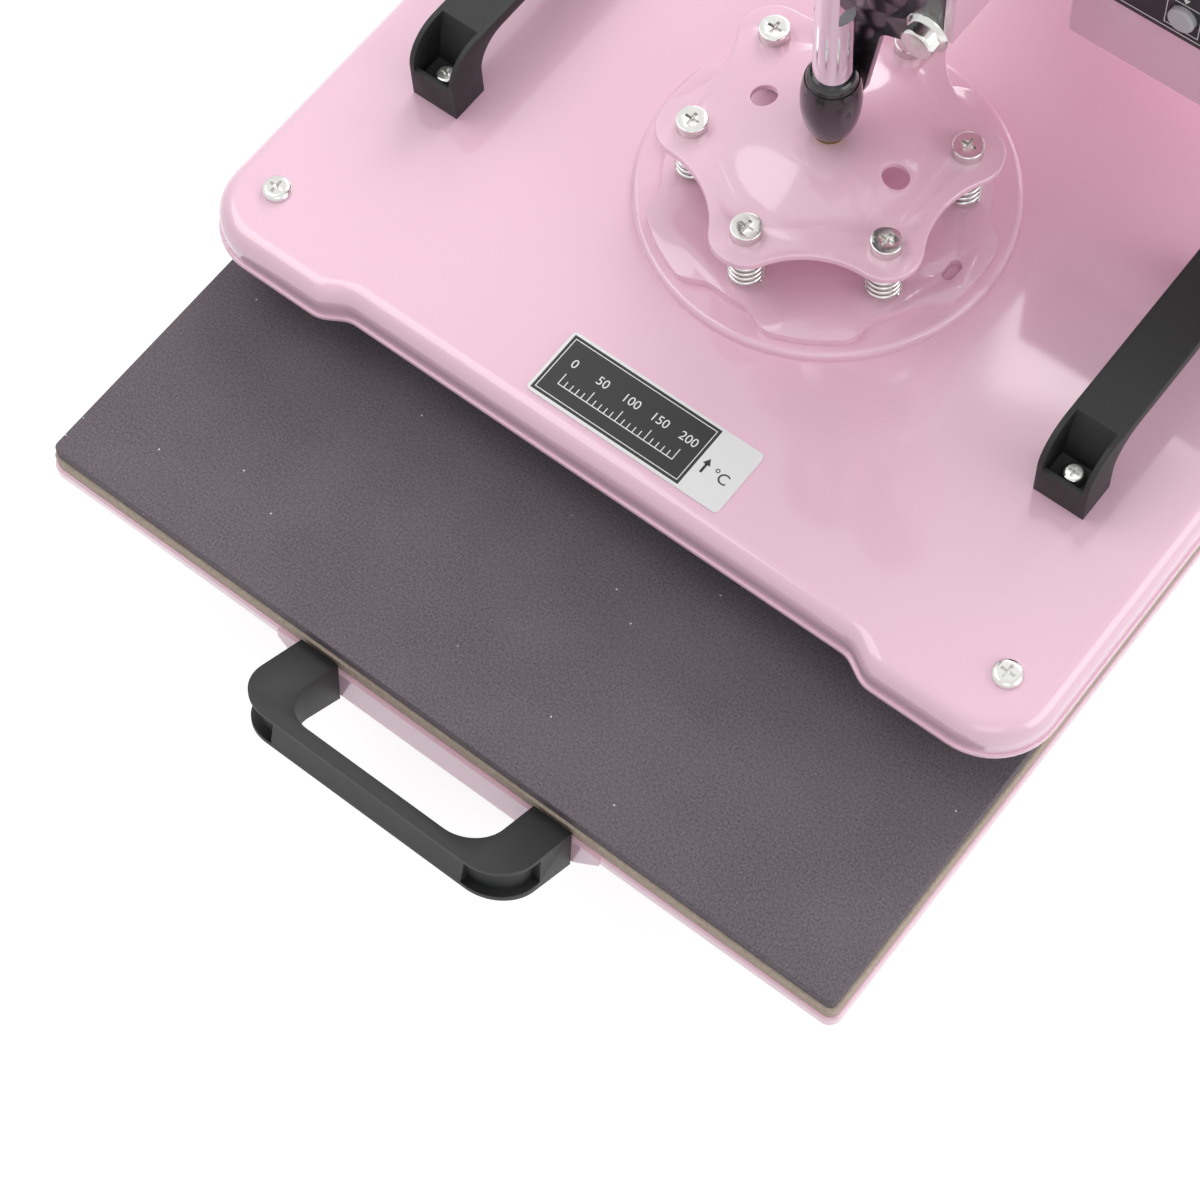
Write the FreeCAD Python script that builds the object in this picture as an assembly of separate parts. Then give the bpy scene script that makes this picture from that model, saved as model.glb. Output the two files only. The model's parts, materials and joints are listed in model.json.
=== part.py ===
import FreeCAD, Part
import math
import os

# A swing-away combo heat press. All sizes are in millimetres.
# +Z is up, -Y is the front where the user stands. The origin lies on the bench
# below the axis of the press shaft, in the middle of the footprint.

# Base frame, column and slide
foot_height = 19.0
foot_radius = 17.0
base_tube_width = 40.0
base_tube_height = 25.0
base_tube_wall = 2.5
base_rail_x = 110.0
base_front_y = -150.0
column_y = 225.0
column_radius = 35.0
column_wall = 4.0
column_seat_half = 60.0
column_seat_thickness = 6.0
column_flange_half = 50.0
column_flange_thickness = 8.0
column_bolt_inset = 12.0
column_bolt_hole = 5.1
pivot_radius = 20.0
pivot_depth = 110.0
washer_thickness = 4.0
slide_bar_width = 16.0
slide_bar_height = 12.0
slide_gap = 0.2
runner_wall = 4.0
runner_length = 230.0

# Lower platen, a drawer that is pulled out at rest
drawer_out = 102.2
platen_half_x = 188.0
platen_half_y = 149.0
pad_thickness = 6.0
board_thickness = 6.5
tray_thickness = 5.5
pad_corner = 3.0
layer_step = 1.2
tray_flange_half = 66.0
tray_flange_taper = 12.0
tray_flange_height = 16.0
tray_flange_thickness = 3.0

# Drawer handle, a moulded pull that rises towards the hand
pull_x = 6.7
pull_width = 130.6
pull_leg = 18.0
pull_reach = 38.3
pull_bar = 6.3
pull_height = 25.3
pull_front_height = 22.0
pull_rise = 6.5
pull_slope = 0.6
pull_lean = 0.12
pull_screw_drop = 19.0
pull_corner = 17.5
pull_inner_corner = 15.0
pull_skin = 2.5
pull_hollow = 3.0
pull_pocket_half = 45.5
pull_pocket_back = 17.5
pull_screw_radius = 2.1

# Upper platen, measured from the top of the silicone pad with the head raised
open_gap = 21.0
closed_gap = 0.6
cover_half_x = 194.0
cover_half_y = 153.9
cover_recess = 6.3
recess_half_x = 124.0
recess_slope = 11.0
cover_rise = 42.5
cover_height = 16.6
cover_sheet = 1.5
cover_corner = 27.0
cover_edge_radius = 8.0
cover_lip = 1.1
cover_lip_height = 2.6
heater_margin = 4.0
heater_thickness = 10.0
element_radius = 3.5
element_half_x = 150.0
element_pitch = 52.0
element_passes = 4
insulation_gap = 0.3
boss_radius = 8.0
cover_screw_inset_x = 22.0
cover_screw_inset_y = 27.8
cover_screw_radius = 2.0
thermostat_x = 95.0
thermostat_y = 0.0
thermostat_radius = 9.0
thermostat_height = 5.0

# Floating suspension on top of the cover
disc_radius = 75.3
disc_thickness = 4.0
spring_plate_radius = 70.6
spring_plate_notch = 63.5
spring_plate_thickness = 4.0
plate_slot_half = 2.6
plate_slot_x = 61.1
plate_slot_y = 4.2
star_rise = 36.7
star_thickness = 3.0
lobe_pitch_radius = 51.9
lobe_radius = 14.2
star_waist_radius = 52.2
lobe_count = 6
lobe_start_deg = 30.0
dome_radius = 40.0
dome_rise = 5.3
dome_hole_radius = 5.3
dome_hole_x = 30.5
spring_radius = 7.15
spring_wire = 0.9
spring_turns = 7.5
star_screw_radius = 3.0
star_head_radius = 6.15
star_head_height = 4.6
screw_clearance = 0.4
float_travel = 6.0

# Side handles and scale plate on the cover
handle_inset = 46.5
handle_half_length = 58.8
handle_width = 22.0
handle_height = 33.5
handle_foot_depth = 17.3
handle_lip_height = 16.0
handle_brow_radius = 16.0
handle_arm_thickness = 6.0
handle_arch_radius = 14.0
handle_wall = 2.3
handle_pocket_floor = 9.5
handle_pocket_back = 44.5
handle_pocket_brow = 38.8
handle_screw_y = 50.5
handle_screw_radius = 2.1
handle_screw_reach = 6.0
scale_plate_x = 5.5
scale_plate_inset = 31.9
scale_plate_width = 89.6
scale_plate_depth = 30.3
scale_plate_thickness = 0.8

# Press shaft and yoke
shaft_radius = 7.5
shaft_spigot_radius = 4.5
shaft_flat_half = 5.3
shaft_flat_rise = 159.0
shaft_flat_length = 24.0
boot_height = 36.0
boot_foot_radius = 6.6
boot_radius = 11.7
boot_shoulder = 8.0
boot_washer_thickness = 2.0
fit_clearance = 0.05
bush_wall = 1.5
yoke_half_x = 12.0
yoke_gap_half = 5.4
yoke_wall = 3.0
yoke_socket = 9.0
yoke_floor_drop = 14.5
crank_pin_radius = 4.0
slot_play = 0.4

# Swing arm
arm_rise = 159.4
arm_height = 46.0
arm_half_width = 41.6
arm_sheet = 4.0
arm_rear_overhang = 40.0
hub_wall = 10.0
hub_nut_width = 58.0
hub_nut_height = 12.0
hub_stand = 6.0
front_plate_thickness = 4.0
front_plate_leg_half = 5.9
front_plate_leg_rise = 100.0
front_plate_fold_half = 11.9
front_plate_fold_rise = 141.0
front_plate_tab_half = 33.5
front_plate_tab_rise = 149.8
front_bolt_x = 31.0
front_bolt_rise = 157.3
nose_thickness = 6.0
nose_height = 18.0
nose_half = 35.5
front_plate_corner_rise = 157.1
running_gap = 0.3
guide_block_half_x = 12.0
guide_block_front = 12.5
guide_block_rise = 188.5

# Flange bolts
bolt_radius = 4.0
bolt_flange_radius = 9.0
bolt_flange_height = 1.8
bolt_hex = 13.0
bolt_hex_height = 5.4

# Lever bracket, pivot carrier and lever
bracket_sheet = 5.0
bracket_inner_x = 16.0
bracket_front_y = -17.0
bracket_rear_y = 48.0
carrier_gap = 0.4
carrier_thickness = 8.0
crank_hub_wall = 3.2
lever_shaft_radius = 7.0
lever_plate_inner_x = 36.0
lever_plate_thickness = 5.0
lever_bridge_reach = 80.0
lever_bridge_thickness = 6.0
lever_tube_radius = 11.0
lever_length = 225.0
lever_tilt_deg = 15.0
grip_length = 105.0
grip_radius = 16.0
knob_radius = 25.0
knob_height = 26.0
pressure_screw_radius = 6.0
pressure_socket = 5.0

# Control box
box_left_x = 49.5
box_front_y = 78.8
box_rise = 101.0
box_width = 132.0
box_depth = 108.0
box_height = 108.0
box_wall = 1.5
box_corner = 3.0
box_mount_inset = 20.0
box_spacer_radius = 9.0
box_head_radius = 6.5
box_head_height = 4.0
panel_margin = 8.0
panel_rise = 35.0
panel_thickness = 2.0
display_width = 44.0
display_height = 20.0
button_radius = 5.5
button_pitch = 19.0
button_proud = 2.5
button_travel = 1.5
switch_width = 21.0
switch_height = 15.0
switch_pivot_depth = 7.0
switch_pin_radius = 1.2
switch_tip_deg = 7.5

# Heights that follow from the stack
base_top = foot_height + base_tube_height
slide_top = base_top + slide_bar_height
tray_bottom = slide_top + slide_gap + runner_wall
tray_top = tray_bottom + tray_thickness
board_top = tray_top + board_thickness
pad_top = board_top + pad_thickness
heater_bottom = pad_top + open_gap
heater_top = heater_bottom + heater_thickness
cover_top = pad_top + cover_rise
cover_bottom = cover_top - cover_height
cover_screw_x = cover_half_x - cover_screw_inset_x
cover_screw_y = cover_half_y - cover_screw_inset_y
handle_x = cover_half_x - handle_inset
scale_plate_y = scale_plate_inset - cover_half_y
disc_top = cover_top + disc_thickness
spring_plate_top = disc_top + spring_plate_thickness
star_top = cover_top + star_rise
star_bottom = star_top - star_thickness
dome_top = star_top + dome_rise
boot_bottom = dome_top + boot_washer_thickness
shaft_shoulder = boot_bottom + boot_shoulder
press_travel = open_gap - closed_gap
crank_length = press_travel
arm_bottom = pad_top + arm_rise
arm_top = arm_bottom + arm_height
bracket_floor = arm_top + bracket_sheet
yoke_bottom = bracket_floor + press_travel + 1.6
slot_z = yoke_bottom + yoke_socket + yoke_floor_drop
lever_z = slot_z - crank_length / 2
lever_y = crank_length * (1 + math.cos(math.radians(30))) / 2
yoke_top = slot_z + crank_pin_radius + slot_play + yoke_wall
carrier_top = yoke_top + 2.6 + carrier_thickness
bracket_top = carrier_top + 6.0 + bracket_sheet
front_plate_y = boot_radius + running_gap
drawer_mid_y = -drawer_out
tray_front_y = drawer_mid_y - platen_half_y - 2 * layer_step
pull_front_y = tray_front_y - pull_reach
base_rear_y = -pull_front_y
column_seat_top = base_top + column_seat_thickness
hub_top = arm_top + hub_stand
pivot_top = hub_top + hub_nut_height + 6.0
hub_bottom = arm_bottom - 8.0
washer_bottom = hub_bottom - slide_gap - washer_thickness

# Places on the control box that follow from its size
box_low = pad_top + box_rise
box_high = box_low + box_height
box_right_x = box_left_x + box_width
box_rear_y = box_front_y + box_depth
panel_low = box_low + panel_rise
panel_high = box_high - panel_margin
panel_left = box_left_x + panel_margin
panel_right = box_right_x - panel_margin
panel_front_y = box_front_y - panel_thickness
display_mid_x = (panel_left + panel_right) / 2
display_mid_z = panel_high - 8 - display_height / 2
button_z = panel_low + 12.0

Vec = FreeCAD.Vector
x_axis = Vec(1, 0, 0)
y_axis = Vec(0, 1, 0)
z_axis = Vec(0, 0, 1)


# Shape helpers
def block(x0, x1, y0, y1, z0, z1):
    return Part.makeBox(x1 - x0, y1 - y0, z1 - z0, Vec(x0, y0, z0))


def bar(radius, start, end):
    return Part.makeCylinder(radius, start.distanceToPoint(end), start, end - start)


def tube(outer, inner, start, end):
    return bar(outer, start, end).cut(bar(inner, start, end))


def hexagon(across_flats, start, end):
    prism = Part.Face(Part.makePolygon([
        Vec(math.cos(math.radians(a)), math.sin(math.radians(a)), 0) * (across_flats / math.sqrt(3))
        for a in range(0, 361, 60)
    ])).extrude(Vec(0, 0, start.distanceToPoint(end)))
    prism.Placement = FreeCAD.Placement(start, FreeCAD.Rotation(z_axis, end - start))
    return prism


def rounded_wire(corners):
    """A closed wire through (x, y, radius) corners, each rounded by a tangent arc."""
    count = len(corners)
    pieces = []
    for i in range(count):
        here = Vec(corners[i][0], corners[i][1], 0)
        back = Vec(corners[i - 1][0], corners[i - 1][1], 0) - here
        ahead = Vec(corners[(i + 1) % count][0], corners[(i + 1) % count][1], 0) - here
        back.normalize()
        ahead.normalize()
        radius = corners[i][2]
        if radius == 0:
            pieces.append((here, here, here))
            continue
        half = back.getAngle(ahead) / 2
        reach = radius / math.tan(half)
        middle = back + ahead
        middle.normalize()
        nearest = here + middle * (radius / math.sin(half) - radius)
        pieces.append((here + back * reach, nearest, here + ahead * reach))
    edges = []
    for i in range(count):
        start, nearest, end = pieces[i]
        if start.distanceToPoint(end) > 0:
            edges.append(Part.Arc(start, nearest, end).toShape())
        following = pieces[(i + 1) % count][0]
        if end.distanceToPoint(following) > 1e-6:
            edges.append(Part.LineSegment(end, following).toShape())
    return Part.Wire(edges)


def plate(corners, z0, z1):
    wire = rounded_wire(corners)
    wire.translate(Vec(0, 0, z0))
    return Part.Face(wire).extrude(Vec(0, 0, z1 - z0))


def side_plate(corners, x0, x1):
    """A prism along X; its corners are (y, z, radius)."""
    solid = plate(corners, x0, x1)
    turn = FreeCAD.Matrix(0, 0, 1, 0, 1, 0, 0, 0, 0, 1, 0, 0, 0, 0, 0, 1)
    return solid.transformGeometry(turn)


def front_facing_plate(corners, y0, y1):
    """A prism along Y; its corners are (x, z, radius)."""
    solid = plate(corners, -y1, -y0)
    turn = FreeCAD.Matrix(1, 0, 0, 0, 0, 0, -1, 0, 0, 1, 0, 0, 0, 0, 0, 1)
    return solid.transformGeometry(turn)


def box_corners(half_x, half_y, radius, mid_x=0.0, mid_y=0.0):
    return [
        (mid_x - half_x, mid_y - half_y, radius),
        (mid_x + half_x, mid_y - half_y, radius),
        (mid_x + half_x, mid_y + half_y, radius),
        (mid_x - half_x, mid_y + half_y, radius),
    ]


def level_edges(shape, z):
    """The edges that lie wholly at one height."""
    return [
        e for e in shape.Edges
        if abs(e.BoundBox.ZMin - z) < 1e-4 and abs(e.BoundBox.ZMax - z) < 1e-4
    ]


def revolve(profile):
    """A solid of revolution about Z; the profile's points are (radius, z)."""
    points = [Vec(r, 0, z) for r, z in profile]
    face = Part.Face(Part.makePolygon(points + points[:1]))
    return face.revolve(Vec(0, 0, 0), z_axis, 360)


def moved(shape, x, y, z):
    copy = shape.copy()
    copy.translate(Vec(x, y, z))
    return copy


def placed(shape, where, direction):
    """A copy that stands at a point with its Z axis along a direction."""
    copy = shape.copy()
    copy.Placement = FreeCAD.Placement(where, FreeCAD.Rotation(z_axis, direction))
    return copy


def turned(shape, where, axis, angle_deg):
    copy = shape.copy()
    copy.Placement = FreeCAD.Placement(where, FreeCAD.Rotation(axis, angle_deg))
    return copy


def lobe_points():
    angles = [math.radians(lobe_start_deg + k * 360 / lobe_count) for k in range(lobe_count)]
    return [Vec(math.cos(a), math.sin(a), 0) * lobe_pitch_radius for a in angles]


def four_places(x, y):
    return [(-x, -y), (x, -y), (x, y), (-x, y)]


def phillips(radius, seat, height, dome, depth):
    """A screw head whose seat is at a height, with a cross recess in its top."""
    head = bar(radius, Vec(0, 0, seat), Vec(0, 0, seat + height))
    rim = level_edges(head, seat + height)
    head = head.makeFillet(dome, rim)
    wide = radius * 0.5
    thin = radius * 0.11
    top = seat + height
    for half_x, half_y in ((wide, thin), (thin, wide)):
        head = head.cut(block(-half_x, half_x, -half_y, half_y, top - depth, top + 1))
    return head


def save(name, *solids):
    shape = solids[0] if len(solids) == 1 else Part.makeCompound(list(solids))
    shape.exportStep("parts/%s.step" % name)


# Base
def build_base_frame():
    rails = []
    half_w = base_tube_width / 2
    wall = base_tube_wall
    for x in (-base_rail_x, base_rail_x):
        outer = block(x - half_w, x + half_w, base_front_y, base_rear_y, foot_height, base_top)
        inner = block(x - half_w + wall, x + half_w - wall, base_front_y + wall, base_rear_y - wall,
                      foot_height + wall, base_top - wall)
        rails.append(outer.cut(inner))
    inside = base_rail_x - half_w
    cross_y = [
        base_front_y + half_w / 2,
        column_y - column_seat_half + half_w / 2,
        base_rear_y - half_w / 2,
    ]
    frame = rails[0].fuse(rails[1])
    for y in cross_y:
        outer = block(-inside, inside, y - half_w / 2, y + half_w / 2, foot_height, base_top)
        inner = block(-inside, inside, y - half_w / 2 + wall, y + half_w / 2 - wall,
                      foot_height + wall, base_top - wall)
        frame = frame.fuse(outer.cut(inner))
    seat = plate(box_corners(column_seat_half, column_seat_half, 8, 0, column_y),
                 base_top, base_top + column_seat_thickness)
    for x, y in column_bolt_places():
        hole = bar(column_bolt_hole, Vec(x, y, base_top - 1), Vec(x, y, base_top + column_seat_thickness + 1))
        seat = seat.cut(hole)
    return frame.fuse(seat).removeSplitter()


def column_bolt_places():
    reach = column_flange_half - column_bolt_inset
    return [(x, y + column_y) for x, y in four_places(reach, reach)]


def build_feet():
    feet = []
    for x, y in ((base_rail_x, base_front_y + 25), (base_rail_x, base_rear_y - 25),
                 (-base_rail_x, base_front_y + 25), (-base_rail_x, base_rear_y - 25)):
        foot = revolve([(0, 0), (foot_radius - 2, 0), (foot_radius, 2), (foot_radius - 3, foot_height),
                        (0, foot_height)])
        feet.append(moved(foot, x, y, 0))
    return feet


def build_column():
    flange = plate(box_corners(column_flange_half, column_flange_half, 8, 0, column_y),
                   column_seat_top, column_seat_top + column_flange_thickness)
    for x, y in column_bolt_places():
        hole = bar(column_bolt_hole, Vec(x, y, column_seat_top - 1), Vec(x, y, column_seat_top + 20))
        flange = flange.cut(hole)
    low = Vec(0, column_y, column_seat_top)
    high = Vec(0, column_y, washer_bottom)
    post = tube(column_radius, column_radius - column_wall, low, high)
    ring_length = 20.0
    top_ring = tube(column_radius, pivot_radius, high - z_axis * ring_length, high)
    low_ring = tube(column_radius, pivot_radius, high - z_axis * (pivot_depth - 4),
                    high - z_axis * (pivot_depth - 4 - ring_length))
    return flange.fuse(post).fuse(top_ring).fuse(low_ring).removeSplitter()


def build_column_bolts():
    bolts = []
    seat = column_seat_top + column_flange_thickness
    for x, y in column_bolt_places():
        shank = bar(column_bolt_hole - 0.1, Vec(x, y, base_top), Vec(x, y, seat))
        head = hexagon(16, Vec(x, y, seat), Vec(x, y, seat + 6.4))
        washer = bar(10, Vec(x, y, seat), Vec(x, y, seat + 1.5))
        bolts.append(shank.fuse(head).fuse(washer))
    return bolts


def build_pivot():
    low = Vec(0, column_y, washer_bottom - pivot_depth)
    shaft = bar(pivot_radius, low, Vec(0, column_y, pivot_top))
    return shaft.makeChamfer(1.5, level_edges(shaft, pivot_top))


def build_slide_rails():
    rails = []
    half = slide_bar_width / 2
    for x in (-base_rail_x, base_rail_x):
        rail = block(x - half, x + half, base_front_y + 6, column_y - column_seat_half - 12,
                     base_top, slide_top)
        rail = rail.makeChamfer(1, level_edges(rail, slide_top))
        rails.append(rail)
    return rails


# Drawer
def layer(step, z0, z1, edge):
    corners = box_corners(platen_half_x + step, platen_half_y + step, pad_corner + step, 0, drawer_mid_y)
    solid = plate(corners, z0, z1)
    return solid.makeFillet(edge, level_edges(solid, z1))


def lean_forward(shape, rise):
    """Stands a shape drawn as (x, forward, down) at the tray's front, leaning and rising."""
    top = tray_top + pull_rise
    matrix = FreeCAD.Matrix(1, 0, 0, pull_x, 0, -1, -pull_lean, tray_front_y, 0, rise, -1, top, 0, 0, 0, 1)
    return shape.transformGeometry(matrix)


def pull_screw_places():
    """The middles of the two legs, where they meet the tray's flange."""
    reach = (pull_width - pull_leg) / 2
    y = tray_front_y - pull_lean * pull_screw_drop
    z = tray_top + pull_rise - pull_screw_drop
    return [Vec(pull_x - reach, y, z), Vec(pull_x + reach, y, z)]


def pull_screw_axis():
    """Square to the leaning flange, from the handle back into the tray."""
    return Vec(0, 1, -pull_lean).normalize()


def build_tray():
    sheet = layer(2 * layer_step, tray_bottom, tray_top, 1.0)
    low = pull_rise + tray_flange_height
    wide = tray_flange_half + tray_flange_taper
    step = pull_rise + tray_thickness - 1
    flange = plate([
        (-tray_flange_half, low, 3), (-wide, step, 0), (-wide, pull_rise, 0),
        (wide, pull_rise, 0), (wide, step, 0), (tray_flange_half, low, 3),
    ], 0, tray_flange_thickness)
    upright = FreeCAD.Matrix(1, 0, 0, 0, 0, 0, -1, 0, 0, 1, 0, 0, 0, 0, 0, 1)
    tray = sheet.fuse(lean_forward(flange.transformGeometry(upright), 0))
    axis = pull_screw_axis()
    for place in pull_screw_places():
        tray = tray.cut(bar(pull_screw_radius + 0.5, place - axis, place + axis * 8))
    return tray.removeSplitter()


def build_runners():
    runners = []
    inner = slide_bar_width / 2 + slide_gap
    outer = inner + runner_wall
    for x in (-base_rail_x, base_rail_x):
        y0 = drawer_mid_y - runner_length / 2
        y1 = drawer_mid_y + runner_length / 2
        body = block(x - outer, x + outer, y0, y1, base_top + slide_gap, tray_bottom)
        channel = block(x - inner, x + inner, y0 - 1, y1 + 1, base_top - 1, slide_top + slide_gap)
        runners.append(body.cut(channel))
    return runners


def pull_outline(inset, end):
    """The handle's outer edge seen from above, drawn in by an inset, as far as its feet."""
    half = pull_width / 2 - inset
    front = pull_reach - inset
    corner = pull_corner - inset
    return [(-half, end, 0), (half, end, 0), (half, front, corner), (-half, front, corner)]


def build_pull():
    outer = plate(pull_outline(0, 0), 0, pull_height)
    inner_half = pull_width / 2 - pull_leg
    gap = plate([
        (-inner_half, -1, 0), (inner_half, -1, 0),
        (inner_half, pull_reach - pull_bar, pull_inner_corner),
        (-inner_half, pull_reach - pull_bar, pull_inner_corner),
    ], -1, pull_height + 1)
    wide = pull_width
    profile = side_plate([
        (-1, -1, 0), (-1, pull_height, 0), (0, pull_height, 0), (pull_reach + 1, pull_front_height, 0),
        (pull_reach + 1, -1, 0),
    ], -wide, wide)
    body = outer.cut(gap).common(profile)
    lip = pull_front_height - pull_skin / 2
    groove = side_plate([
        (pull_reach + 1, pull_skin, 0), (pull_reach - pull_hollow, pull_skin, 0),
        (pull_reach, lip, 0), (pull_reach + 1, lip, 0),
    ], -pull_pocket_half, pull_pocket_half)
    body = body.cut(groove)
    floor = pull_front_height - pull_skin
    shell = plate(pull_outline(pull_bar - pull_skin, -1), pull_skin, floor)
    for side in (-1, 1):
        x0 = min(side * pull_pocket_half, side * wide)
        corner = block(x0, x0 + wide - pull_pocket_half, pull_pocket_back, pull_reach + 1, pull_skin, floor)
        pocket = corner.cut(shell)
        body = body.cut(pocket)
    pull = lean_forward(body, pull_slope)
    axis = pull_screw_axis()
    for place in pull_screw_places():
        pull = pull.cut(bar(pull_screw_radius, place - axis * 14, place + axis))
    return pull


def build_drawer_screws():
    screws = []
    axis = pull_screw_axis()
    for place in pull_screw_places():
        shank = bar(pull_screw_radius, z_axis * -12, Vec(0, 0, 0))
        screw = phillips(2 * pull_screw_radius, 0, 2.6, 1.0, 1.2).fuse(shank)
        screws.append(placed(screw, place + axis * tray_flange_thickness, axis))
    return screws


# Upper platen
def cover_corners(inset):
    half_x = cover_half_x - inset
    edge_y = cover_half_y - inset
    mid_y = edge_y - cover_recess
    shift = inset * math.tan(math.atan2(cover_recess, recess_slope) / 2)
    outside = recess_half_x + recess_slope / 2 + shift
    inside = recess_half_x - recess_slope / 2 + shift
    bend = 12.0
    front = [
        (-half_x, -edge_y, cover_corner - inset),
        (-outside, -edge_y, bend - inset),
        (-inside, -mid_y, bend + inset),
        (inside, -mid_y, bend + inset),
        (outside, -edge_y, bend - inset),
        (half_x, -edge_y, cover_corner - inset),
    ]
    return front + [(-x, -y, r) for x, y, r in front]


def build_cover():
    outer = plate(cover_corners(0), cover_bottom, cover_top)
    outer = outer.makeFillet(cover_edge_radius, level_edges(outer, cover_top))
    lip = plate(cover_corners(-cover_lip), cover_bottom, cover_bottom + cover_lip_height)
    rims = level_edges(lip, cover_bottom) + level_edges(lip, cover_bottom + cover_lip_height)
    lip = lip.makeFillet(cover_lip_height * 0.35, rims)
    inside_top = cover_top - cover_sheet
    inner = plate(cover_corners(cover_sheet), cover_bottom - 1, inside_top)
    inner = inner.makeFillet(cover_edge_radius - cover_sheet, level_edges(inner, inside_top))
    cover = outer.fuse(lip).cut(inner)
    for x, y in four_places(cover_screw_x, cover_screw_y):
        hole = bar(cover_screw_radius + 0.7, Vec(x, y, inside_top - 1), Vec(x, y, cover_top + 1))
        cover = cover.cut(hole)
    cover = drill_lobes(cover, star_screw_radius, inside_top, cover_top)
    for x, y in handle_screw_places():
        cover = cover.cut(bar(handle_screw_radius, Vec(x, y, inside_top - 1), Vec(x, y, cover_top + 1)))
    return cover


def element_path():
    """Straight passes along X joined by half turns, with both ends on the left."""
    z = heater_top
    reach = element_half_x - element_pitch / 2
    last = element_passes - 1
    edges = []
    for k in range(element_passes):
        y = (k - last / 2) * element_pitch
        left = element_half_x if k in (0, last) else reach
        edges.append(Part.LineSegment(Vec(-left, y, z), Vec(reach, y, z)).toShape())
        if k < last:
            side = 1 if k % 2 == 0 else -1
            start = Vec(side * reach, y, z)
            middle = Vec(side * element_half_x, y + element_pitch / 2, z)
            edges.append(Part.Arc(start, middle, start + y_axis * element_pitch).toShape())
    return Part.Wire(Part.__sortEdges__(edges))


def element_tube(radius):
    path = element_path()
    start = Vec(-element_half_x, -element_pitch * (element_passes - 1) / 2, heater_top)
    ring = Part.Wire(Part.makeCircle(radius, start, x_axis))
    return path.makePipeShell([ring], True, False)


def heater_half(overall):
    return overall - cover_sheet - heater_margin


def build_heater_plate():
    half_x = heater_half(cover_half_x)
    half_y = heater_half(cover_half_y - cover_recess)
    slab = plate(box_corners(half_x, half_y, cover_corner - heater_margin), heater_bottom, heater_top)
    slab = slab.makeChamfer(1, level_edges(slab, heater_bottom))
    slab = slab.cut(element_tube(element_radius))
    for x, y in four_places(cover_screw_x, cover_screw_y):
        boss = bar(boss_radius, Vec(x, y, heater_top - 1), Vec(x, y, cover_top - cover_sheet))
        slab = slab.fuse(boss).cut(bar(cover_screw_radius, Vec(x, y, heater_top), Vec(x, y, cover_top)))
    return slab


def build_insulation():
    half_x = heater_half(cover_half_x) - 1
    half_y = heater_half(cover_half_y - cover_recess) - 1
    low = heater_top + element_radius + insulation_gap
    high = cover_top - cover_sheet - insulation_gap
    mat = plate(box_corners(half_x, half_y, cover_corner - heater_margin), low, high)
    for x, y in four_places(cover_screw_x, cover_screw_y):
        mat = mat.cut(bar(boss_radius + 1, Vec(x, y, low - 1), Vec(x, y, high + 1)))
    mat = drill_lobes(mat, star_screw_radius + 1, low, high)
    for x, y in handle_screw_places():
        mat = mat.cut(bar(handle_screw_radius + 1.1, Vec(x, y, low - 1), Vec(x, y, high + 1)))
    foot = Vec(thermostat_x, thermostat_y, low - 1)
    return mat.cut(bar(thermostat_radius + 1.5, foot, foot + z_axis * (high - low - 1)))


def build_thermostat():
    foot = bar(thermostat_radius, Vec(0, 0, 0), Vec(0, 0, 2))
    can = bar(thermostat_radius - 2, Vec(0, 0, 2), Vec(0, 0, thermostat_height))
    solid = foot.fuse(can)
    for x in (-3.0, 3.0):
        solid = solid.fuse(block(x - 0.4, x + 0.4, -1.5, 1.5, thermostat_height, thermostat_height + 2))
    return moved(solid, thermostat_x, thermostat_y, heater_top)


def build_cover_screws():
    screws = []
    for x, y in four_places(cover_screw_x, cover_screw_y):
        head = phillips(6.0, cover_top, 2.8, 2.2, 1.6)
        shank = bar(cover_screw_radius, z_axis * (heater_top + 1), z_axis * cover_top)
        screws.append(moved(head.fuse(shank), x, y, 0))
    return screws


def build_disc():
    disc = bar(disc_radius, z_axis * cover_top, z_axis * disc_top)
    disc = disc.makeFillet(disc_thickness * 0.55, level_edges(disc, disc_top))
    return drill_lobes(disc, star_screw_radius, cover_top, disc_top)


def drill_lobes(solid, radius, low, high):
    for place in lobe_points():
        solid = solid.cut(bar(radius, place + z_axis * (low - 1), place + z_axis * (high + 1)))
    return solid


def wavy_radius(angle_deg):
    """Full radius between the lobes, drawn in near each lobe, with a smooth change."""
    step = 360 / lobe_count
    off = abs((angle_deg - lobe_start_deg + step / 2) % step - step / 2)
    blend = min(max((off - 7.0) / 11.0, 0.0), 1.0)
    blend = blend * blend * (3 - 2 * blend)
    return spring_plate_notch + (spring_plate_radius - spring_plate_notch) * blend


def build_spring_plate():
    points = []
    for k in range(0, 360, 4):
        angle = math.radians(k)
        points.append(Vec(math.cos(angle), math.sin(angle), 0) * wavy_radius(k))
    curve = Part.BSplineCurve()
    curve.interpolate(Points=points, PeriodicFlag=True)
    face = Part.Face(Part.Wire(curve.toShape()))
    face.translate(z_axis * disc_top)
    solid = face.extrude(z_axis * spring_plate_thickness)
    solid = drill_lobes(solid, star_screw_radius, disc_top, spring_plate_top)
    for side in (-1, 1):
        corners = box_corners(plate_slot_half, 5, plate_slot_half - 0.01, side * plate_slot_x,
                              side * -plate_slot_y)
        solid = solid.cut(plate(corners, disc_top - 1, spring_plate_top + 1))
    return solid


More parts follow.
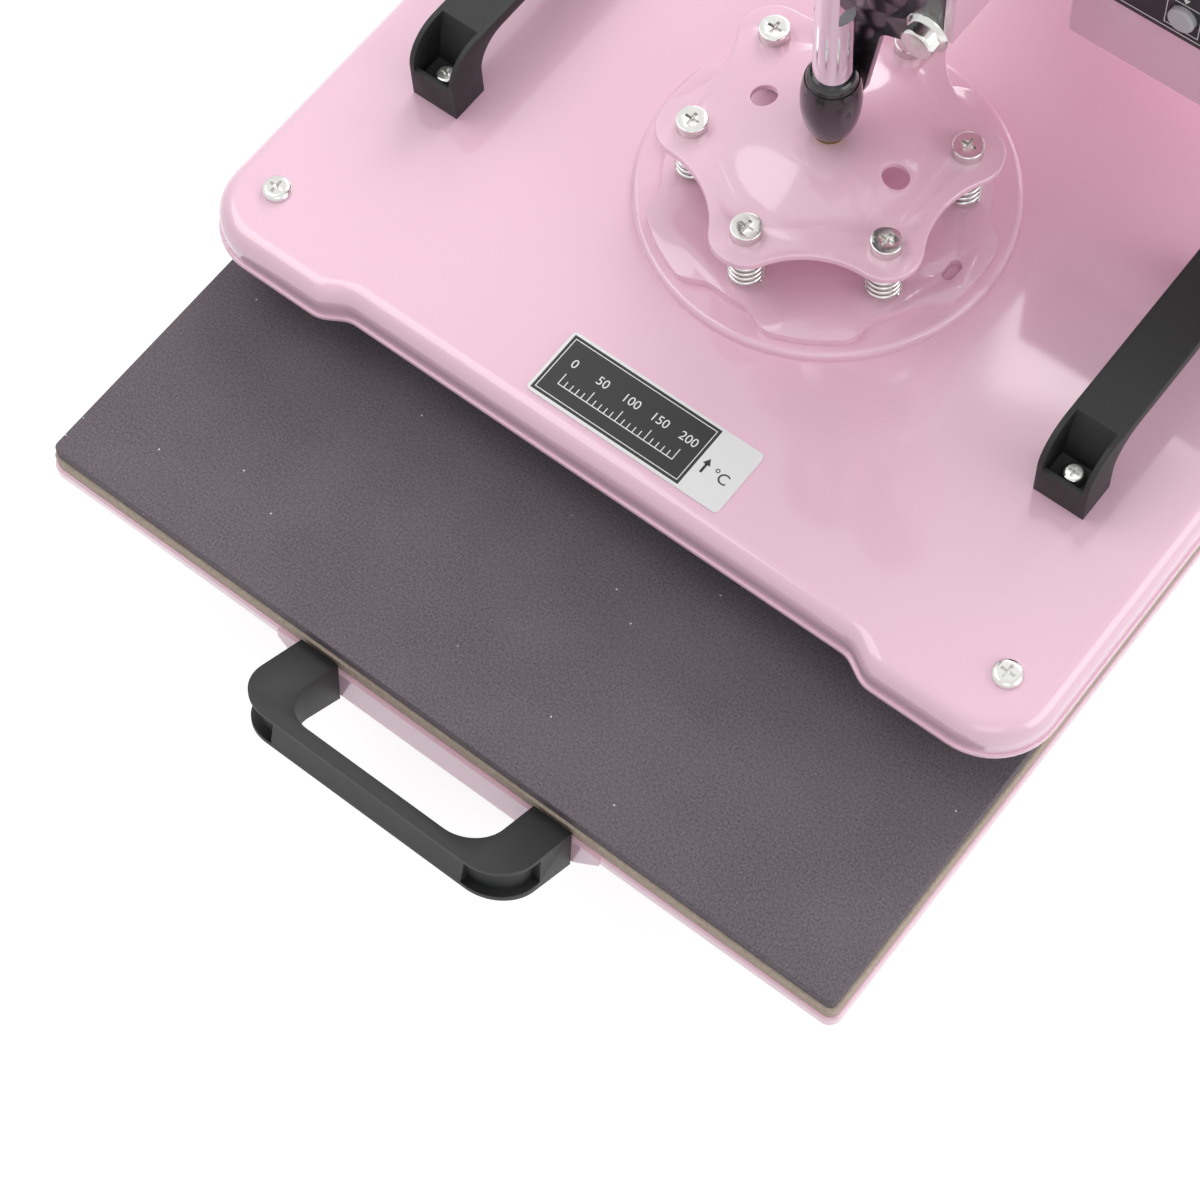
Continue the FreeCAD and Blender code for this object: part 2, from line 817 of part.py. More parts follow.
def star_wire():
    """Lobes joined by arcs that touch them and reach in to the waist."""
    half_step = math.pi / lobe_count
    along = lobe_pitch_radius * math.cos(half_step)
    across = lobe_pitch_radius * math.sin(half_step)
    offset = star_waist_radius - along
    hollow = (offset ** 2 + across ** 2 - lobe_radius ** 2) / (2 * (lobe_radius - offset))
    reach = star_waist_radius + hollow
    edges = []
    for k in range(lobe_count):
        mid = math.radians(lobe_start_deg) + (2 * k + 1) * half_step
        centre = Vec(math.cos(mid), math.sin(mid), 0) * reach
        lobes = [Vec(math.cos(mid + s * half_step), math.sin(mid + s * half_step), 0) * lobe_pitch_radius
                 for s in (-1, 1)]
        joints = [lobe + (centre - lobe).normalize() * lobe_radius for lobe in lobes]
        waist = Vec(math.cos(mid), math.sin(mid), 0) * star_waist_radius
        edges.append(Part.Arc(joints[0], waist, joints[1]).toShape())
        lobe = lobes[1]
        tip = lobe * ((lobe_pitch_radius + lobe_radius) / lobe_pitch_radius)
        after = mid + 2 * half_step
        next_centre = Vec(math.cos(after), math.sin(after), 0) * reach
        landing = lobe + (next_centre - lobe).normalize() * lobe_radius
        edges.append(Part.Arc(joints[1], tip, landing).toShape())
    return Part.Wire(edges)


def dome_profile(lift):
    """Points from the rim to the flat top of the dome, as (radius, z)."""
    flat = shaft_radius + 4.0
    steps = 8
    points = []
    for k in range(steps + 1):
        share = k / steps
        radius = dome_radius + (flat - dome_radius) * share
        points.append((radius, lift + dome_rise * math.sin(share * math.pi / 2) ** 1.3))
    return points


def build_star():
    face = Part.Face(star_wire())
    face.translate(z_axis * star_bottom)
    flat = face.extrude(z_axis * star_thickness)
    flat = flat.makeFillet(star_thickness * 0.3, level_edges(flat, star_top))
    flat = flat.cut(bar(dome_radius, z_axis * (star_bottom - 1), z_axis * (star_top + 1)))
    upper = dome_profile(star_top)
    lower = dome_profile(star_bottom)
    profile = upper + [(0, dome_top), (0, dome_top - star_thickness)] + lower[::-1]
    star = flat.fuse(revolve(profile))
    for x in (-dome_hole_x, dome_hole_x):
        star = star.cut(bar(dome_hole_radius, Vec(x, 0, star_bottom - 1), Vec(x, 0, dome_top + 1)))
    star = star.cut(bar(shaft_spigot_radius, z_axis * star_bottom, z_axis * (dome_top + 1)))
    return drill_lobes(star, star_screw_radius + screw_clearance, star_bottom, star_top)


def build_star_screws():
    screws = []
    for place in lobe_points():
        head = phillips(star_head_radius, star_top, star_head_height, 0.5, 2.0)
        shank = bar(star_screw_radius, z_axis * (cover_top - cover_sheet - 3), z_axis * star_top)
        screws.append(moved(head.fuse(shank), place.x, place.y, 0))
    return screws


def build_springs():
    length = star_bottom - spring_plate_top - 0.3
    mean = spring_radius - spring_wire
    height = length - 2 * spring_wire
    helix = Part.makeHelix(height / spring_turns, height, mean)
    section = Part.Wire(Part.makeCircle(spring_wire, Vec(mean, 0, 0), y_axis))
    coil = Part.Wire(helix.Edges).makePipeShell([section], True, True)
    low = spring_plate_top + spring_wire + 0.05
    return [moved(coil, p.x, p.y, low) for p in lobe_points()]


def handle_screw_places():
    return four_places(handle_x, handle_screw_y)


def build_side_handle(x):
    """A bow on two feet; each foot has a pocket that opens to its end and top."""
    low = cover_top
    half = handle_half_length
    high = low + handle_height
    left = x - handle_width / 2
    right = x + handle_width / 2
    body = side_plate([
        (-half, low, 0), (-half, high, handle_brow_radius), (half, high, handle_brow_radius), (half, low, 0),
    ], left, right)
    arch_half = half - handle_foot_depth
    ceiling = high - handle_arm_thickness
    arch = side_plate([
        (-arch_half, low - 1, 0), (-arch_half, ceiling, handle_arch_radius),
        (arch_half, ceiling, handle_arch_radius), (arch_half, low - 1, 0),
    ], left - 1, right + 1)
    body = body.cut(arch)
    floor = low + handle_pocket_floor
    lip = low + handle_lip_height
    for side in (-1, 1):
        outline = [
            (half - handle_wall, floor), (handle_pocket_back, floor), (handle_pocket_brow, high + 1),
            (half + 1, high + 1), (half + 1, lip), (half - handle_wall, lip),
        ]
        pocket = side_plate([(side * y, z, 0) for y, z in outline], left + handle_wall, right - handle_wall)
        body = body.cut(pocket)
        y = side * handle_screw_y
        body = body.cut(bar(handle_screw_radius, Vec(x, y, low - 1), Vec(x, y, floor + 1)))
    return body


def build_handle_screws():
    screws = []
    seat = cover_top + handle_pocket_floor
    for x, y in handle_screw_places():
        head = phillips(4.5, seat, 3.2, 1.4, 1.5)
        shank = bar(handle_screw_radius, z_axis * (cover_top - handle_screw_reach), z_axis * seat)
        screws.append(moved(head.fuse(shank), x, y, 0))
    return screws


def build_scale_plate():
    corners = box_corners(scale_plate_width / 2, scale_plate_depth / 2, 2, scale_plate_x, scale_plate_y)
    return plate(corners, cover_top, cover_top + scale_plate_thickness)


# Press shaft
def build_shaft():
    """The shaft with its thin lower end and the two flats milled above the boot."""
    shoulder = z_axis * shaft_shoulder
    shaft = bar(shaft_radius, shoulder, z_axis * (yoke_bottom + yoke_socket - 1))
    low = pad_top + shaft_flat_rise
    high = low + shaft_flat_length
    for side in (-1, 1):
        outside = side * (shaft_radius + 1)
        x0, x1 = sorted((side * shaft_flat_half, outside))
        shaft = shaft.cut(block(x0, x1, -shaft_radius - 1, shaft_radius + 1, low, high))
    spigot = bar(shaft_spigot_radius, z_axis * (dome_top - star_thickness), shoulder)
    return shaft.fuse(spigot)


def spline_edge(points):
    curve = Part.BSplineCurve()
    curve.interpolate(Points=points)
    return curve.toShape()


def build_boot():
    """A swollen sleeve whose rounded cap sits on a crease above the widest part."""
    foot = boot_foot_radius / boot_radius
    sleeve = [(0, foot), (0.03, 0.63), (0.10, 0.75), (0.25, 0.90), (0.40, 0.975), (0.55, 1.0),
              (0.70, 0.98), (0.82, 0.93), (0.885, 0.88)]
    cap = [(0.885, 0.845), (0.93, 0.82), (0.97, 0.77), (1.0, 0.70)]

    def at(share, width):
        return Vec(boot_radius * width, 0, boot_bottom + boot_height * share)

    low = [at(share, width) for share, width in sleeve]
    high = [at(share, width) for share, width in cap]
    top = boot_bottom + boot_height
    inside = [Vec(shaft_radius, 0, top), Vec(shaft_radius, 0, shaft_shoulder),
              Vec(shaft_spigot_radius, 0, shaft_shoulder), Vec(shaft_spigot_radius, 0, boot_bottom)]
    edges = [spline_edge(low), Part.LineSegment(low[-1], high[0]).toShape(), spline_edge(high)]
    corners = [high[-1]] + inside + [low[0]]
    for start, end in zip(corners, corners[1:]):
        edges.append(Part.LineSegment(start, end).toShape())
    return Part.Face(Part.Wire(edges)).revolve(Vec(0, 0, 0), z_axis, 360)


def build_boot_washer():
    return tube(boot_foot_radius - 0.4, shaft_spigot_radius, z_axis * dome_top, z_axis * boot_bottom)


def slot_half():
    swing = crank_length * (1 - math.cos(math.radians(30))) / 2
    return swing + crank_pin_radius + slot_play


def build_yoke():
    half_y = slot_half() + yoke_wall
    body = block(-yoke_half_x, yoke_half_x, -half_y, half_y, yoke_bottom, yoke_top)
    gap = block(-yoke_gap_half, yoke_gap_half, -half_y - 1, half_y + 1,
                yoke_bottom + yoke_socket, yoke_top + 1)
    play = crank_pin_radius + slot_play
    slot = side_plate([
        (-slot_half(), slot_z - play, play * 0.99), (slot_half(), slot_z - play, play * 0.99),
        (slot_half(), slot_z + play, play * 0.99), (-slot_half(), slot_z + play, play * 0.99),
    ], -yoke_half_x - 1, yoke_half_x + 1)
    socket = bar(shaft_radius, z_axis * yoke_bottom, z_axis * (yoke_bottom + yoke_socket - 1))
    return body.cut(gap).cut(slot).cut(socket)


# Swing arm
def lengthwise_edges(shape, length, z):
    """The edges of one length along Y that lie at one height."""
    return [e for e in level_edges(shape, z) if abs(e.BoundBox.YLength - length) < 1e-4
            and e.BoundBox.XLength < 1e-4]


def build_arm_channel():
    rear = column_y + arm_rear_overhang
    inside = arm_half_width - arm_sheet
    front_inside = front_plate_y + front_plate_thickness
    outer = block(-arm_half_width, arm_half_width, front_plate_y, rear, arm_bottom, arm_top)
    outer = outer.makeFillet(arm_sheet + 2, lengthwise_edges(outer, rear - front_plate_y, arm_top))
    inner = block(-inside, inside, front_inside, rear - arm_sheet, arm_bottom - 1, arm_top - arm_sheet)
    inner = inner.makeFillet(2, lengthwise_edges(inner, rear - arm_sheet - front_inside, arm_top - arm_sheet))
    mouth = block(-inside, inside, front_plate_y - 1, front_inside + 1, arm_bottom - 1, arm_top - arm_sheet)
    hub = bar(pivot_radius + hub_wall, Vec(0, column_y, arm_bottom - 1), Vec(0, column_y, arm_top + 1))
    channel = outer.cut(inner).cut(mouth).cut(hub)
    for place in bracket_bolt_places():
        channel = channel.cut(bar(bolt_radius, place - z_axis * (bracket_sheet + arm_sheet + 1), place))
    for y in box_mount_y():
        z = arm_bottom + arm_height / 2
        channel = channel.cut(bar(bolt_radius, Vec(inside - 1, y, z), Vec(arm_half_width + 1, y, z)))
    return channel


def build_arm_floor():
    """The bottom sheet of the arm, with the nose that the front plate is bolted to."""
    inside = arm_half_width - arm_sheet
    start = front_plate_y + front_plate_thickness
    low = pad_top + front_bolt_rise - nose_height / 3
    floor = block(-inside, inside, start, column_y + arm_rear_overhang - arm_sheet, arm_bottom,
                  arm_bottom + arm_sheet)
    nose = block(-nose_half, nose_half, start, start + nose_thickness, low,
                 low + nose_height)
    hub = bar(pivot_radius + hub_wall, Vec(0, column_y, arm_bottom - 1), Vec(0, column_y, arm_top))
    floor = floor.fuse(nose).cut(hub)
    for place in front_bolt_places(start - 1):
        floor = floor.cut(bar(bolt_radius, place, place + y_axis * (nose_thickness + 1)))
    return floor.removeSplitter()


def build_hub():
    bore = pivot_radius + fit_clearance
    return tube(pivot_radius + hub_wall, bore, Vec(0, column_y, hub_bottom), Vec(0, column_y, hub_top))


def build_hub_nut():
    seat = hub_top + slide_gap
    top = seat + hub_nut_height
    nut = hexagon(hub_nut_width, Vec(0, column_y, seat), Vec(0, column_y, top))
    return nut.cut(bar(pivot_radius, Vec(0, column_y, seat - 1), Vec(0, column_y, top + 1)))


def build_thrust_washer():
    return tube(pivot_radius + hub_wall - 1, pivot_radius + 0.5, Vec(0, column_y, washer_bottom),
                Vec(0, column_y, washer_bottom + washer_thickness))


def front_bolt_places(y):
    return [Vec(x, y, pad_top + front_bolt_rise) for x in (-front_bolt_x, front_bolt_x)]


def build_front_plate():
    corner = arm_half_width - arm_sheet - 0.2
    half = [
        (front_plate_leg_half, pad_top + front_plate_leg_rise, 2),
        (front_plate_fold_half, pad_top + front_plate_fold_rise, 6),
        (front_plate_tab_half, pad_top + front_plate_tab_rise, 3),
        (corner, pad_top + front_plate_corner_rise, 2),
        (corner, arm_top - arm_sheet, 2),
    ]
    mirrored = [(-x, z, r) for x, z, r in half[::-1]]
    solid = front_facing_plate(half + mirrored, front_plate_y, front_plate_y + front_plate_thickness)
    for place in front_bolt_places(front_plate_y - 1):
        solid = solid.cut(bar(bolt_radius, place, place + y_axis * 9))
    return solid


def flange_bolt(length):
    """A flange bolt with its seat at the origin and its head towards +Z."""
    shank = bar(bolt_radius, z_axis * -length, Vec(0, 0, 0))
    skirt = Part.makeCone(bolt_flange_radius, bolt_hex / 2 + 0.6, bolt_flange_height)
    head = hexagon(bolt_hex, Vec(0, 0, 0), z_axis * (bolt_flange_height + bolt_hex_height))
    cap = bar(bolt_hex / 2 + 0.35, Vec(0, 0, 0), z_axis * (bolt_flange_height + bolt_hex_height))
    cap = cap.makeChamfer(0.9, level_edges(cap, bolt_flange_height + bolt_hex_height))
    return shank.fuse(skirt).fuse(head.common(cap))


def build_flange_bolts():
    bolts = []
    for place in front_bolt_places(front_plate_y):
        bolts.append(placed(flange_bolt(front_plate_thickness + nose_thickness), place, y_axis * -1))
    for place in bracket_bolt_places():
        bolts.append(placed(flange_bolt(bracket_sheet + arm_sheet), place, z_axis))
    return bolts


def build_guide_block():
    low = pad_top + guide_block_rise
    body = block(-guide_block_half_x, guide_block_half_x, -guide_block_front, front_plate_y, low, arm_top)
    upright = [e for e in body.Edges if abs(e.BoundBox.ZLength - (arm_top - low)) < 1e-4
               and e.BoundBox.YMax < 0]
    body = body.makeFillet(3, upright)
    bore = bar(shaft_radius + fit_clearance + bush_wall, z_axis * (low - 1), z_axis * (arm_top + 1))
    return body.cut(bore)


def build_guide_bush():
    inner = shaft_radius + fit_clearance
    low = pad_top + guide_block_rise
    return tube(inner + bush_wall, inner, z_axis * (low - 1), z_axis * arm_top)


def bracket_bolt_x():
    return bracket_inner_x + bracket_sheet + bolt_flange_radius + 1.0


def bracket_bolt_places():
    y = bracket_rear_y - bolt_flange_radius - 1.0
    return [Vec(x, y, bracket_floor) for x in (-bracket_bolt_x(), bracket_bolt_x())]


def build_bracket():
    side = bracket_inner_x + bracket_sheet
    base_half = bracket_bolt_x() + bolt_flange_radius + 1.0
    base = plate([
        (-guide_block_half_x - 3, bracket_front_y, 3), (guide_block_half_x + 3, bracket_front_y, 3),
        (base_half, front_plate_y + 6, 3), (base_half, bracket_rear_y, 3),
        (-base_half, bracket_rear_y, 3), (-base_half, front_plate_y + 6, 3),
    ], arm_top, bracket_floor)
    base = base.cut(bar(shaft_radius + 1.5, z_axis * (arm_top - 1), z_axis * (bracket_floor + 1)))
    cheek_front = lever_y - 20
    cheek_rear = lever_y + 20
    bracket = base
    for sign in (-1, 1):
        x0 = bracket_inner_x if sign > 0 else -side
        cheek = side_plate([
            (cheek_front, bracket_floor - 1, 0), (cheek_rear, bracket_floor - 1, 0),
            (cheek_rear, bracket_top, 0), (cheek_front, bracket_top, 0),
        ], x0, x0 + bracket_sheet)
        bracket = bracket.fuse(cheek)
    roof = block(-side, side, cheek_front, cheek_rear, bracket_top - bracket_sheet, bracket_top)
    bracket = bracket.fuse(roof)
    play = lever_shaft_radius + 0.4
    slot = side_plate([
        (lever_y - play, lever_z - play - 3, play * 0.9), (lever_y + play, lever_z - play - 3, play * 0.9),
        (lever_y + play, lever_z + play + 5, play * 0.9), (lever_y - play, lever_z + play + 5, play * 0.9),
    ], -side - 1, side + 1)
    bracket = bracket.cut(slot)
    screw_hole = bar(pressure_screw_radius + fit_clearance, Vec(0, lever_y, bracket_top - bracket_sheet - 1),
                     Vec(0, lever_y, bracket_top + 1))
    bracket = bracket.cut(screw_hole)
    for place in bracket_bolt_places():
        bracket = bracket.cut(bar(bolt_radius, place - z_axis * (bracket_sheet + 1), place + z_axis))
    return bracket.removeSplitter()


def build_carrier():
    outer = bracket_inner_x - carrier_gap
    inner = yoke_half_x + carrier_gap
    front = lever_y - 13
    rear = lever_y + 13
    body = block(-outer, outer, front, rear, lever_z - 14, carrier_top)
    room = block(-inner, inner, front - 1, rear + 1, lever_z - 15, carrier_top - carrier_thickness)
    bore = bar(lever_shaft_radius + fit_clearance, Vec(-outer - 1, lever_y, lever_z),
               Vec(outer + 1, lever_y, lever_z))
    socket = bar(pressure_screw_radius + fit_clearance, Vec(0, lever_y, carrier_top - pressure_socket),
                 Vec(0, lever_y, carrier_top + 1))
    return body.cut(room).cut(bore).cut(socket)


# Lever
def along_lever(distance):
    angle = math.radians(90 - lever_tilt_deg)
    return Vec(0, lever_y + distance * math.cos(angle), lever_z + distance * math.sin(angle))


def build_lever_shaft():
    end = lever_plate_inner_x + lever_plate_thickness + 3
    shaft = bar(lever_shaft_radius, Vec(-end, lever_y, lever_z), Vec(end, lever_y, lever_z))
    rims = [e for e in shaft.Edges if e.BoundBox.XLength < 1e-4]
    return shaft.makeChamfer(1, rims)


def crank_pin_place():
    return Vec(0, lever_y - crank_length * math.cos(math.radians(30)), lever_z + crank_length / 2)


def build_crank():
    half = yoke_gap_half - 0.4
    pin = crank_pin_place()
    centre = Vec(0, lever_y, lever_z)
    hub = bar(lever_shaft_radius + crank_hub_wall, centre - x_axis * half, centre + x_axis * half)
    eye = bar(crank_pin_radius + 3.5, pin - x_axis * half, pin + x_axis * half)
    direction = (pin - centre).normalize()
    normal = Vec(0, -direction.z, direction.y)
    wide = crank_pin_radius + 3.0
    corners = [centre + normal * wide, pin + normal * wide, pin - normal * wide, centre - normal * wide]
    web = side_plate([(c.y, c.z, 0) for c in corners], -half, half)
    crank = hub.fuse(eye).fuse(web)
    crank = crank.cut(bar(lever_shaft_radius, centre - x_axis * (half + 1), centre + x_axis * (half + 1)))
    return crank.cut(bar(crank_pin_radius, pin - x_axis * (half + 1), pin + x_axis * (half + 1)))


def build_crank_pin():
    pin = crank_pin_place()
    return bar(crank_pin_radius, pin - x_axis * yoke_half_x, pin + x_axis * yoke_half_x)


def upright_lever_frame():
    """The lever as welded, standing straight up from its pivot at the origin."""
    wide = lever_plate_inner_x + lever_plate_thickness
    frame = None
    for x0 in (-wide, lever_plate_inner_x):
        side = side_plate([
            (-14, -14, 12), (14, -14, 12), (12, lever_bridge_reach + lever_bridge_thickness, 3),
            (-12, lever_bridge_reach + lever_bridge_thickness, 3),
        ], x0, x0 + lever_plate_thickness)
        frame = side if frame is None else frame.fuse(side)
    bridge = block(-lever_plate_inner_x - 1, lever_plate_inner_x + 1, -8, 8, lever_bridge_reach,
                   lever_bridge_reach + lever_bridge_thickness - 1)
    handle = bar(lever_tube_radius, z_axis * (lever_bridge_reach + 1), z_axis * (lever_length - 3))
    hollow = bar(lever_tube_radius - 2, z_axis * (lever_bridge_reach + lever_bridge_thickness),
                 z_axis * lever_length)
    frame = frame.fuse(bridge).fuse(handle).cut(hollow)
    return frame.cut(bar(lever_shaft_radius, Vec(-wide - 1, 0, 0), Vec(wide + 1, 0, 0)))


def tilt_lever(shape):
    return turned(shape, Vec(0, lever_y, lever_z), x_axis, -lever_tilt_deg)


def build_grip():
    start = lever_length - grip_length
    rings = 5
    profile = [(lever_tube_radius, start), (grip_radius + 2, start), (grip_radius + 2, start + 5)]
    body = grip_length - 13
    for k in range(rings):
        low = start + 8 + body * k / rings
        profile.append((grip_radius - 1, low))
        profile.append((grip_radius, low + body / rings / 2))
    profile += [(grip_radius - 1, lever_length - 4), (grip_radius - 5, lever_length), (0, lever_length),
                (0, lever_length - 3), (lever_tube_radius, lever_length - 3)]
    return revolve(profile)


def build_knob():
    low = bracket_top + 1.0
    body = bar(knob_radius, Vec(0, lever_y, low), Vec(0, lever_y, low + knob_height))
    body = body.makeFillet(4, level_edges(body, low + knob_height))
    flutes = 8
    for k in range(flutes):
        angle = 2 * math.pi * k / flutes
        x = (knob_radius + 3.5) * math.cos(angle)
        y = lever_y + (knob_radius + 3.5) * math.sin(angle)
        body = body.cut(bar(7, Vec(x, y, low - 1), Vec(x, y, low + knob_height + 1)))
    bore = bar(pressure_screw_radius, Vec(0, lever_y, low - 1), Vec(0, lever_y, low + knob_height - 8))
    return body.cut(bore)


def build_pressure_screw():
    low = carrier_top - pressure_socket + slide_gap
    return bar(pressure_screw_radius, Vec(0, lever_y, low), Vec(0, lever_y, bracket_top + knob_height - 7))


# Control box
def button_places():
    return [display_mid_x + k * button_pitch for k in (-1, 0, 1)]


def switch_mid():
    return Vec(box_right_x, box_rear_y - 28, box_low + 30)


def socket_mid():
    return Vec(box_left_x + box_width / 2, box_rear_y, box_low + 32)


def build_box():
    outer = block(box_left_x, box_right_x, box_front_y, box_rear_y, box_low, box_high)
    outer = outer.makeFillet(box_corner, [e for e in outer.Edges if e.BoundBox.YMax < box_rear_y - 1
                                          or e.BoundBox.YLength > 1])
    wall = box_wall
    inner = block(box_left_x + wall, box_right_x - wall, box_front_y + wall, box_rear_y + 1,
                  box_low + wall, box_high - wall)
    shell = outer.cut(inner)
    window = block(display_mid_x - display_width / 2, display_mid_x + display_width / 2,
                   box_front_y - 1, box_front_y + wall + 1,
                   display_mid_z - display_height / 2, display_mid_z + display_height / 2)
    shell = shell.cut(window)
    for x in button_places():
        hole = bar(button_radius + 1, Vec(x, box_front_y - 1, button_z), Vec(x, box_front_y + 4, button_z))
        shell = shell.cut(hole)
    mid = switch_mid()
    shell = shell.cut(block(mid.x - 5, mid.x + 1, mid.y - switch_width / 2 - 2, mid.y + switch_width / 2 + 2,
                            mid.z - switch_height / 2 - 2, mid.z + switch_height / 2 + 2))
    for y in box_mount_y():
        z = arm_bottom + arm_height / 2
        shell = shell.cut(bar(bolt_radius, Vec(box_left_x - 1, y, z), Vec(box_left_x + 5, y, z)))
    return shell


def box_mount_y():
    return (box_front_y + box_mount_inset, box_rear_y - box_mount_inset)


def build_box_mounts():
    """Two screws with spacers that hold the box to the side of the arm."""
    mounts = []
    z = arm_bottom + arm_height / 2
    inside = arm_half_width - arm_sheet
    for y in box_mount_y():
        spacer = bar(box_spacer_radius, Vec(arm_half_width, y, z), Vec(box_left_x, y, z))
        screw = bar(bolt_radius, Vec(inside, y, z), Vec(box_left_x + box_wall, y, z))
        seat = box_left_x + box_wall
        head = bar(box_head_radius, Vec(seat, y, z), Vec(seat + box_head_height, y, z))
        mounts.append(spacer.fuse(screw).fuse(head))
    return mounts


def build_box_back():
    wall = box_wall
    cover = block(box_left_x, box_right_x, box_rear_y, box_rear_y + wall, box_low, box_high)
    mid = socket_mid()
    cover = cover.cut(block(mid.x - 14, mid.x + 14, box_rear_y - 1, box_rear_y + 3, mid.z - 10, mid.z + 10))
    vents = 6
    for k in range(vents):
        z = box_high - 18 - 6 * k
        cover = cover.cut(block(mid.x - 32, mid.x + 32, box_rear_y - 1, box_rear_y + 3, z - 1.2, z + 1.2))
    return cover


def build_panel():
    solid = front_facing_plate([
        (panel_left, panel_low, 2), (panel_right, panel_low, 2),
        (panel_right, panel_high, 2), (panel_left, panel_high, 2),
    ], panel_front_y, box_front_y)
    solid = solid.cut(block(display_mid_x - display_width / 2 + 2, display_mid_x + display_width / 2 - 2,
                            panel_front_y - 1, box_front_y + 1, display_mid_z - display_height / 2 + 2,
                            display_mid_z + display_height / 2 - 2))
    for x in button_places():
        hole = bar(button_radius + 0.4, Vec(x, panel_front_y - 1, button_z),
                   Vec(x, box_front_y + 1, button_z))
        solid = solid.cut(hole)
    return solid


def build_display():
    return block(display_mid_x - display_width / 2, display_mid_x + display_width / 2, box_front_y,
                 box_front_y + 6, display_mid_z - display_height / 2, display_mid_z + display_height / 2)


def build_button(x):
    face = panel_front_y - button_proud
    cap = bar(button_radius, Vec(x, face, button_z), Vec(x, box_front_y + 4, button_z))
    rim = [e for e in cap.Edges if e.BoundBox.YLength < 1e-4 and abs(e.BoundBox.YMin - face) < 1e-4]
    return cap.makeFillet(1.2, rim)


def switch_pivot():
    return switch_mid() - x_axis * switch_pivot_depth


def build_switch():
    """A rocker on a pin along Z, tipped to its off side at rest."""
    pivot = switch_pivot()
    half = switch_width / 2 - 1.5
    front = switch_pivot_depth + 2.2
    corners = [(-2, -half, 1), (front, -half, 1), (front - 1.6, 0, 4), (front, half, 1), (-2, half, 1)]
    reach = switch_height / 2 - 1.0
    rocker = plate(corners, -reach, reach)
    rocker = rocker.cut(bar(switch_pin_radius + fit_clearance, z_axis * -(reach + 1), z_axis * (reach + 1)))
    return turned(rocker, pivot, z_axis, -switch_tip_deg)


def build_switch_frame():
    mid = switch_mid()
    pivot = switch_pivot()
    half_y = switch_width / 2
    half_z = switch_height / 2
    lip = block(mid.x, mid.x + 1.6, mid.y - half_y - 3.5, mid.y + half_y + 3.5, mid.z - half_z - 3.5,
                mid.z + half_z + 3.5)
    body = block(mid.x - 16, mid.x, mid.y - half_y - 1.6, mid.y + half_y + 1.6, mid.z - half_z - 1.6,
                 mid.z + half_z + 1.6)
    room = block(mid.x - 12.5, mid.x + 2, mid.y - half_y, mid.y + half_y, mid.z - half_z, mid.z + half_z)
    pin = bar(switch_pin_radius, pivot - z_axis * (half_z + 1), pivot + z_axis * (half_z + 1))
    return lip.fuse(body).cut(room).fuse(pin)


def build_socket():
    mid = socket_mid()
    rear = box_rear_y + box_wall
    flange = front_facing_plate([
        (mid.x - 19, mid.z - 12, 3), (mid.x + 19, mid.z - 12, 3),
        (mid.x + 19, mid.z + 12, 3), (mid.x - 19, mid.z + 12, 3),
    ], rear, rear + 3)
    body = block(mid.x - 13.5, mid.x + 13.5, box_rear_y - 22, rear, mid.z - 9.5, mid.z + 9.5)
    solid = flange.fuse(body)
    solid = solid.cut(block(mid.x - 11.5, mid.x + 11.5, rear - 14, rear + 4, mid.z - 7.5, mid.z + 7.5))
    for x, z in ((-7, -2), (7, -2), (0, 2.5)):
        blade = block(mid.x + x - 1, mid.x + x + 1, rear - 15, rear - 3, mid.z + z - 2.2, mid.z + z + 2.2)
        solid = solid.fuse(blade)
    return solid


def build_board():
    back = box_front_y + 14
    sheet = block(panel_left + 4, panel_right - 4, back, back + 1.6, panel_low - 4, panel_high - 4)
    relay = block(display_mid_x - 30, display_mid_x - 8, back + 1.6, back + 18, button_z - 8, button_z + 8)
    coil = block(display_mid_x + 8, display_mid_x + 36, back + 1.6, back + 24, button_z - 4, button_z + 22)
    parts = sheet.fuse(relay).fuse(coil)
    for x in (panel_left + 8, panel_right - 8):
        for z in (panel_low, panel_high - 9):
            parts = parts.fuse(bar(2.5, Vec(x, box_front_y + box_wall, z), Vec(x, back, z)))
    return parts


